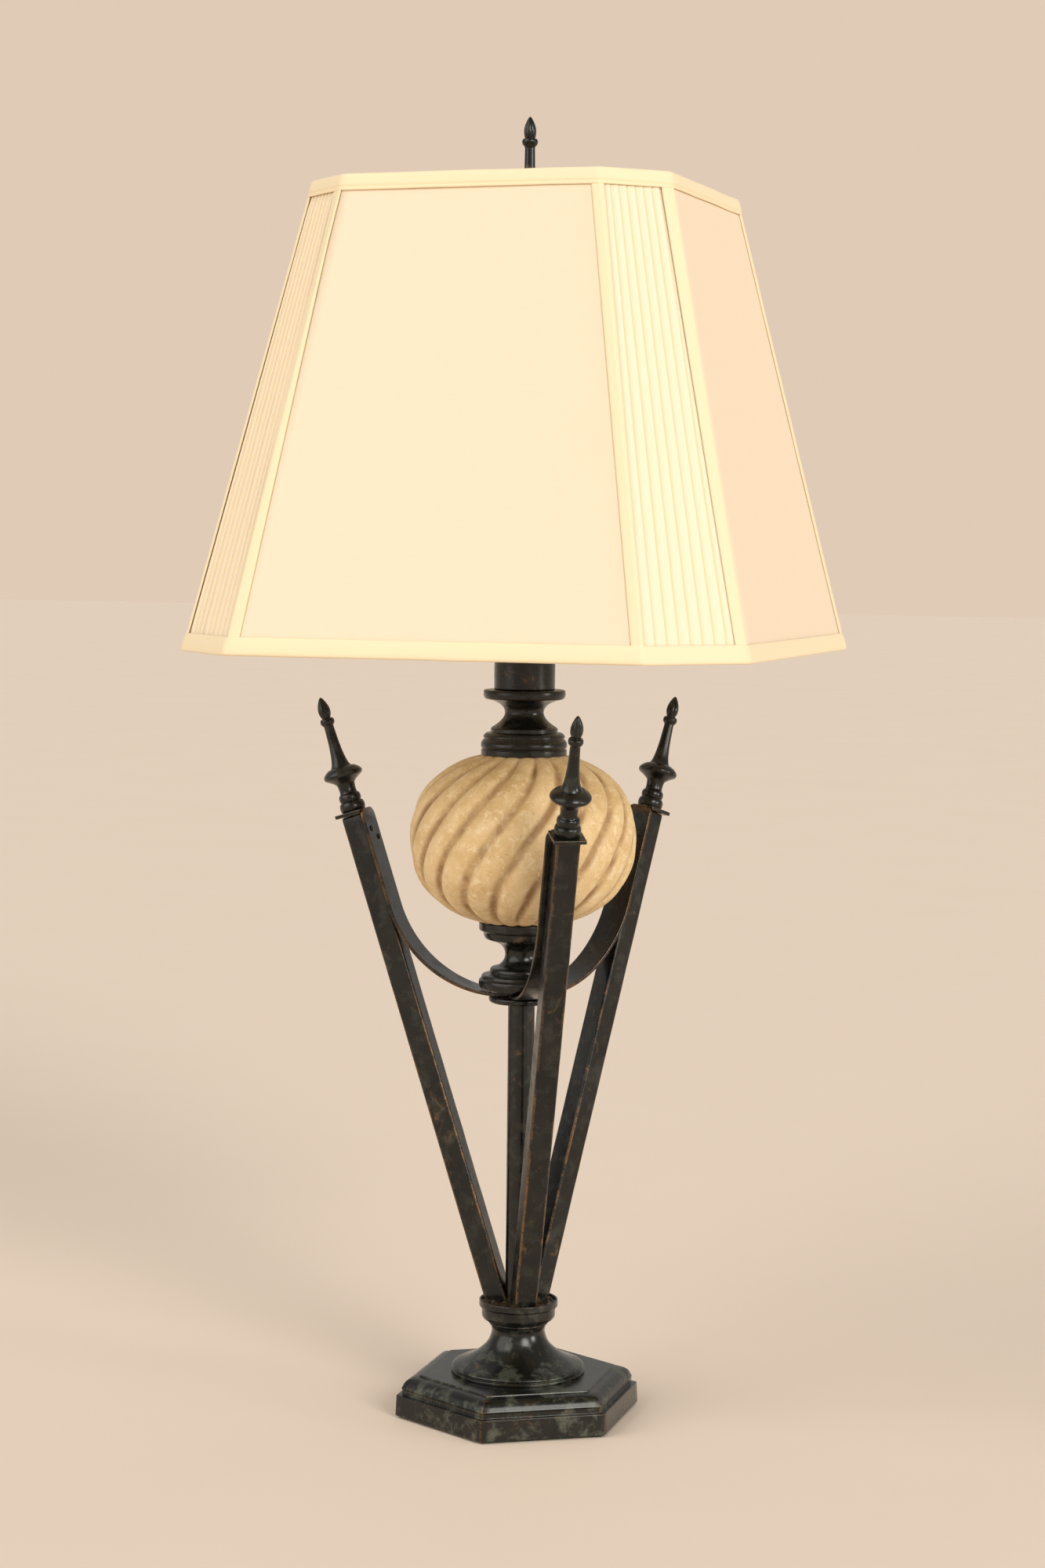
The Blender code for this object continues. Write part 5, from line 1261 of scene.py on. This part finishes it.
def make_spider():
    hub_high = high("shade_spider").z
    middle = hub_high - WIRE_RADIUS - 0.0001
    ring = SHADE_HIGH - RING_INSET
    outline = shade_outline(ring, WIRE_INSET)
    arms = []
    for side in FLAT_SIDES:
        edge = (outline[side] + outline[next_side(side)]) / 2
        away = Vector((edge.x, edge.y, 0)).normalized()
        reach = edge.xy.length - WIRE_RADIUS - 0.0003
        corners = [away * 0.008 + Vector((0, 0, middle)), away * reach * 0.80 + Vector((0, 0, middle)),
                   away * reach * 0.93 + Vector((0, 0, ring)), away * reach + Vector((0, 0, ring))]
        arms.append(smooth_line(corners, 0.006))
    shape = wire_shape(arms, WIRE_RADIUS)
    add_piece("spider_arms", shape, ENAMEL, "shade", [], sharp=60)
    turned_piece("spider_hub", "shade_spider", [
        (3.4, 1.8), (10.2, 1.8, 0.4), (11.0, 1.2, 0.5), (11.0, 0.5, 0.4), (10.4, 0), (3.4, 0),
    ], ENAMEL, "shade", steps=56)


def make_top_finial():
    """The same bud as on the arms, on a plain tapered stem with a spreading foot."""
    tall = (high("top_finial").z - low("top_finial").z) / MM
    bore = 16.7
    corners = [
        (0, tall), (0.9, tall - 0.4, 0.4), (2.5, tall - 2.6, AS_FAR), (4.9, tall - 7.8, AS_FAR),
        (5.85, tall - 12.4, AS_FAR), (5.5, tall - 17.2, AS_FAR), (4.9, tall - 19.4, 0.8),
        (4.6, tall - 19.9, 0.3), (6.6, tall - 20.4, 0.8), (7.6, tall - 22.8, 1.2), (6.8, tall - 25.8, 1.2),
        (5.4, tall - 27.2, 0.8), (4.7, tall - 28.2, 0.6), (4.7, tall - 30, AS_FAR), (5.2, 18, AS_FAR),
        (6.2, 12.5, AS_FAR), (10.4, 7.8, 1.2), (11.5, 5.4, 1.4), (11.5, 1.2, 0.8), (10.7, 0), (3.4, 0),
        (3.4, bore), (0, bore),
    ]
    shape = bmesh.new()
    spun(shape, corners, 72)
    flute(shape, tall - 19.6, tall, BUD_PETALS, PETAL_DEPTH)
    bmesh.ops.translate(shape, vec=(0, 0, low("top_finial").z), verts=shape.verts)
    add_piece("top_bud", shape, BRONZE, "top_finial", ["top_finial"], sharp=50)


# ---------------------------------------------------------------- studio
def make_studio():
    """A pale warm floor, and a plain surround that glows paler than it looks."""
    finish = Finish("studio_floor", Specular_IOR_Level=0.2)
    haze = finish.clouds(3, detail=3)
    finish.feed(
        Base_Color=finish.mix(haze, linear(245, 227, 210), linear(241, 223, 205)),
        Roughness=0.6 + 0.1 * haze,
    )
    shape = bmesh.new()
    bmesh.ops.create_grid(shape, x_segments=1, y_segments=1, size=30)
    set_out("studio_floor", shape, finish.material)

    world = bpy.data.worlds.new("studio_air")
    world.use_nodes = True
    tree = world.node_tree
    seen = tree.nodes["Background"]
    seen.inputs["Color"].default_value = (*linear(224, 203, 183), 1)
    seen.inputs["Strength"].default_value = 1.0
    glow = tree.nodes.new("ShaderNodeBackground")
    glow.inputs["Color"].default_value = (*linear(248, 243, 236), 1)
    glow.inputs["Strength"].default_value = 0.45
    path = tree.nodes.new("ShaderNodeLightPath")
    either = tree.nodes.new("ShaderNodeMixShader")
    tree.links.new(path.outputs["Is Camera Ray"], either.inputs[0])
    tree.links.new(glow.outputs[0], either.inputs[1])
    tree.links.new(seen.outputs[0], either.inputs[2])
    tree.links.new(either.outputs[0], tree.nodes["World Output"].inputs["Surface"])
    bpy.context.scene.world = world
    bpy.context.scene.view_settings.view_transform = "Standard"


def soft_sun(name, azimuth, elevation, spread, strength):
    """Even light over the whole floor, as from a large softbox; angles in degrees."""
    light = bpy.data.lights.new(name, "SUN")
    light.angle = math.radians(spread)
    light.energy = strength
    light.color = linear(255, 252, 246)
    turn, rise = math.radians(azimuth), math.radians(elevation)
    towards = Vector((math.sin(turn) * math.cos(rise), -math.cos(turn) * math.cos(rise), math.sin(rise)))
    lamp = bpy.data.objects.new(name, light)
    lamp.rotation_mode = "QUATERNION"
    lamp.rotation_quaternion = towards.to_track_quat("Z", "Y")
    bpy.context.scene.collection.objects.link(lamp)


def make_camera():
    """A short telephoto at chest height, a little to the right of the shade's front."""
    azimuth, pitch, roll = math.radians(18.2), math.radians(4.63), math.radians(0.57)
    data = bpy.data.cameras.new("camera")
    data.lens, data.sensor_width = 71.03, 36
    turn = Matrix.Rotation(azimuth, 3, "Z")
    forward = turn @ Vector((0, math.cos(pitch), -math.sin(pitch)))
    up = turn @ Vector((0, math.sin(pitch), math.cos(pitch)))
    right = turn @ Vector((1, 0, 0))
    rolled_right = right * math.cos(roll) + up * math.sin(roll)
    rolled_up = up * math.cos(roll) - right * math.sin(roll)
    axes = Matrix((rolled_right, rolled_up, -forward)).transposed()
    camera = bpy.data.objects.new("camera", data)
    camera.matrix_world = Matrix.Translation(turn @ Vector((-0.0011, -2.900, 0.836))) @ axes.to_4x4()
    bpy.context.scene.collection.objects.link(camera)
    bpy.context.scene.camera = camera


# ---------------------------------------------------------------- the lamp
make_studio()
soft_sun("key", 50, 24, 26, 1.60)
soft_sun("fill", -42, 28, 60, 1.52)
soft_sun("edge", 84, 8, 14, 0.75)
make_camera()

make_plinth()
make_pedestal()
make_cup()
make_filler()
make_column()
make_bushing()
for arm in ARMS:
    make_arm(arm)
    make_arm_cap(arm)
    make_arm_finial(arm)
    make_strap(arm)
    for rivet in RIVETS_A_ARM:
        make_rivet(arm, rivet)
make_disc()
make_seat()
make_orb()
make_collar()
make_neck()
make_harp()
make_sleeves()
make_socket()
make_knob()
make_bulb()
for flat in FLAT_SIDES:
    make_flat_panel(flat)
    make_pleats(next_side(flat))
for side in range(len(SIDES)):
    make_strip(side)
make_bands()
make_lining()
make_shade_frame()
make_spider()
make_top_finial()

dress("centre_rod", STEEL)
dress("base_lock_nut", STEEL)
dress("base_washer", STEEL)
dress("base_weight", IRON)
dress("base_felt", FELT)
dress("rod_top_nut", BRASS)
dress("harp_saddle", BRASS)
dress("socket_core", PORCELAIN)
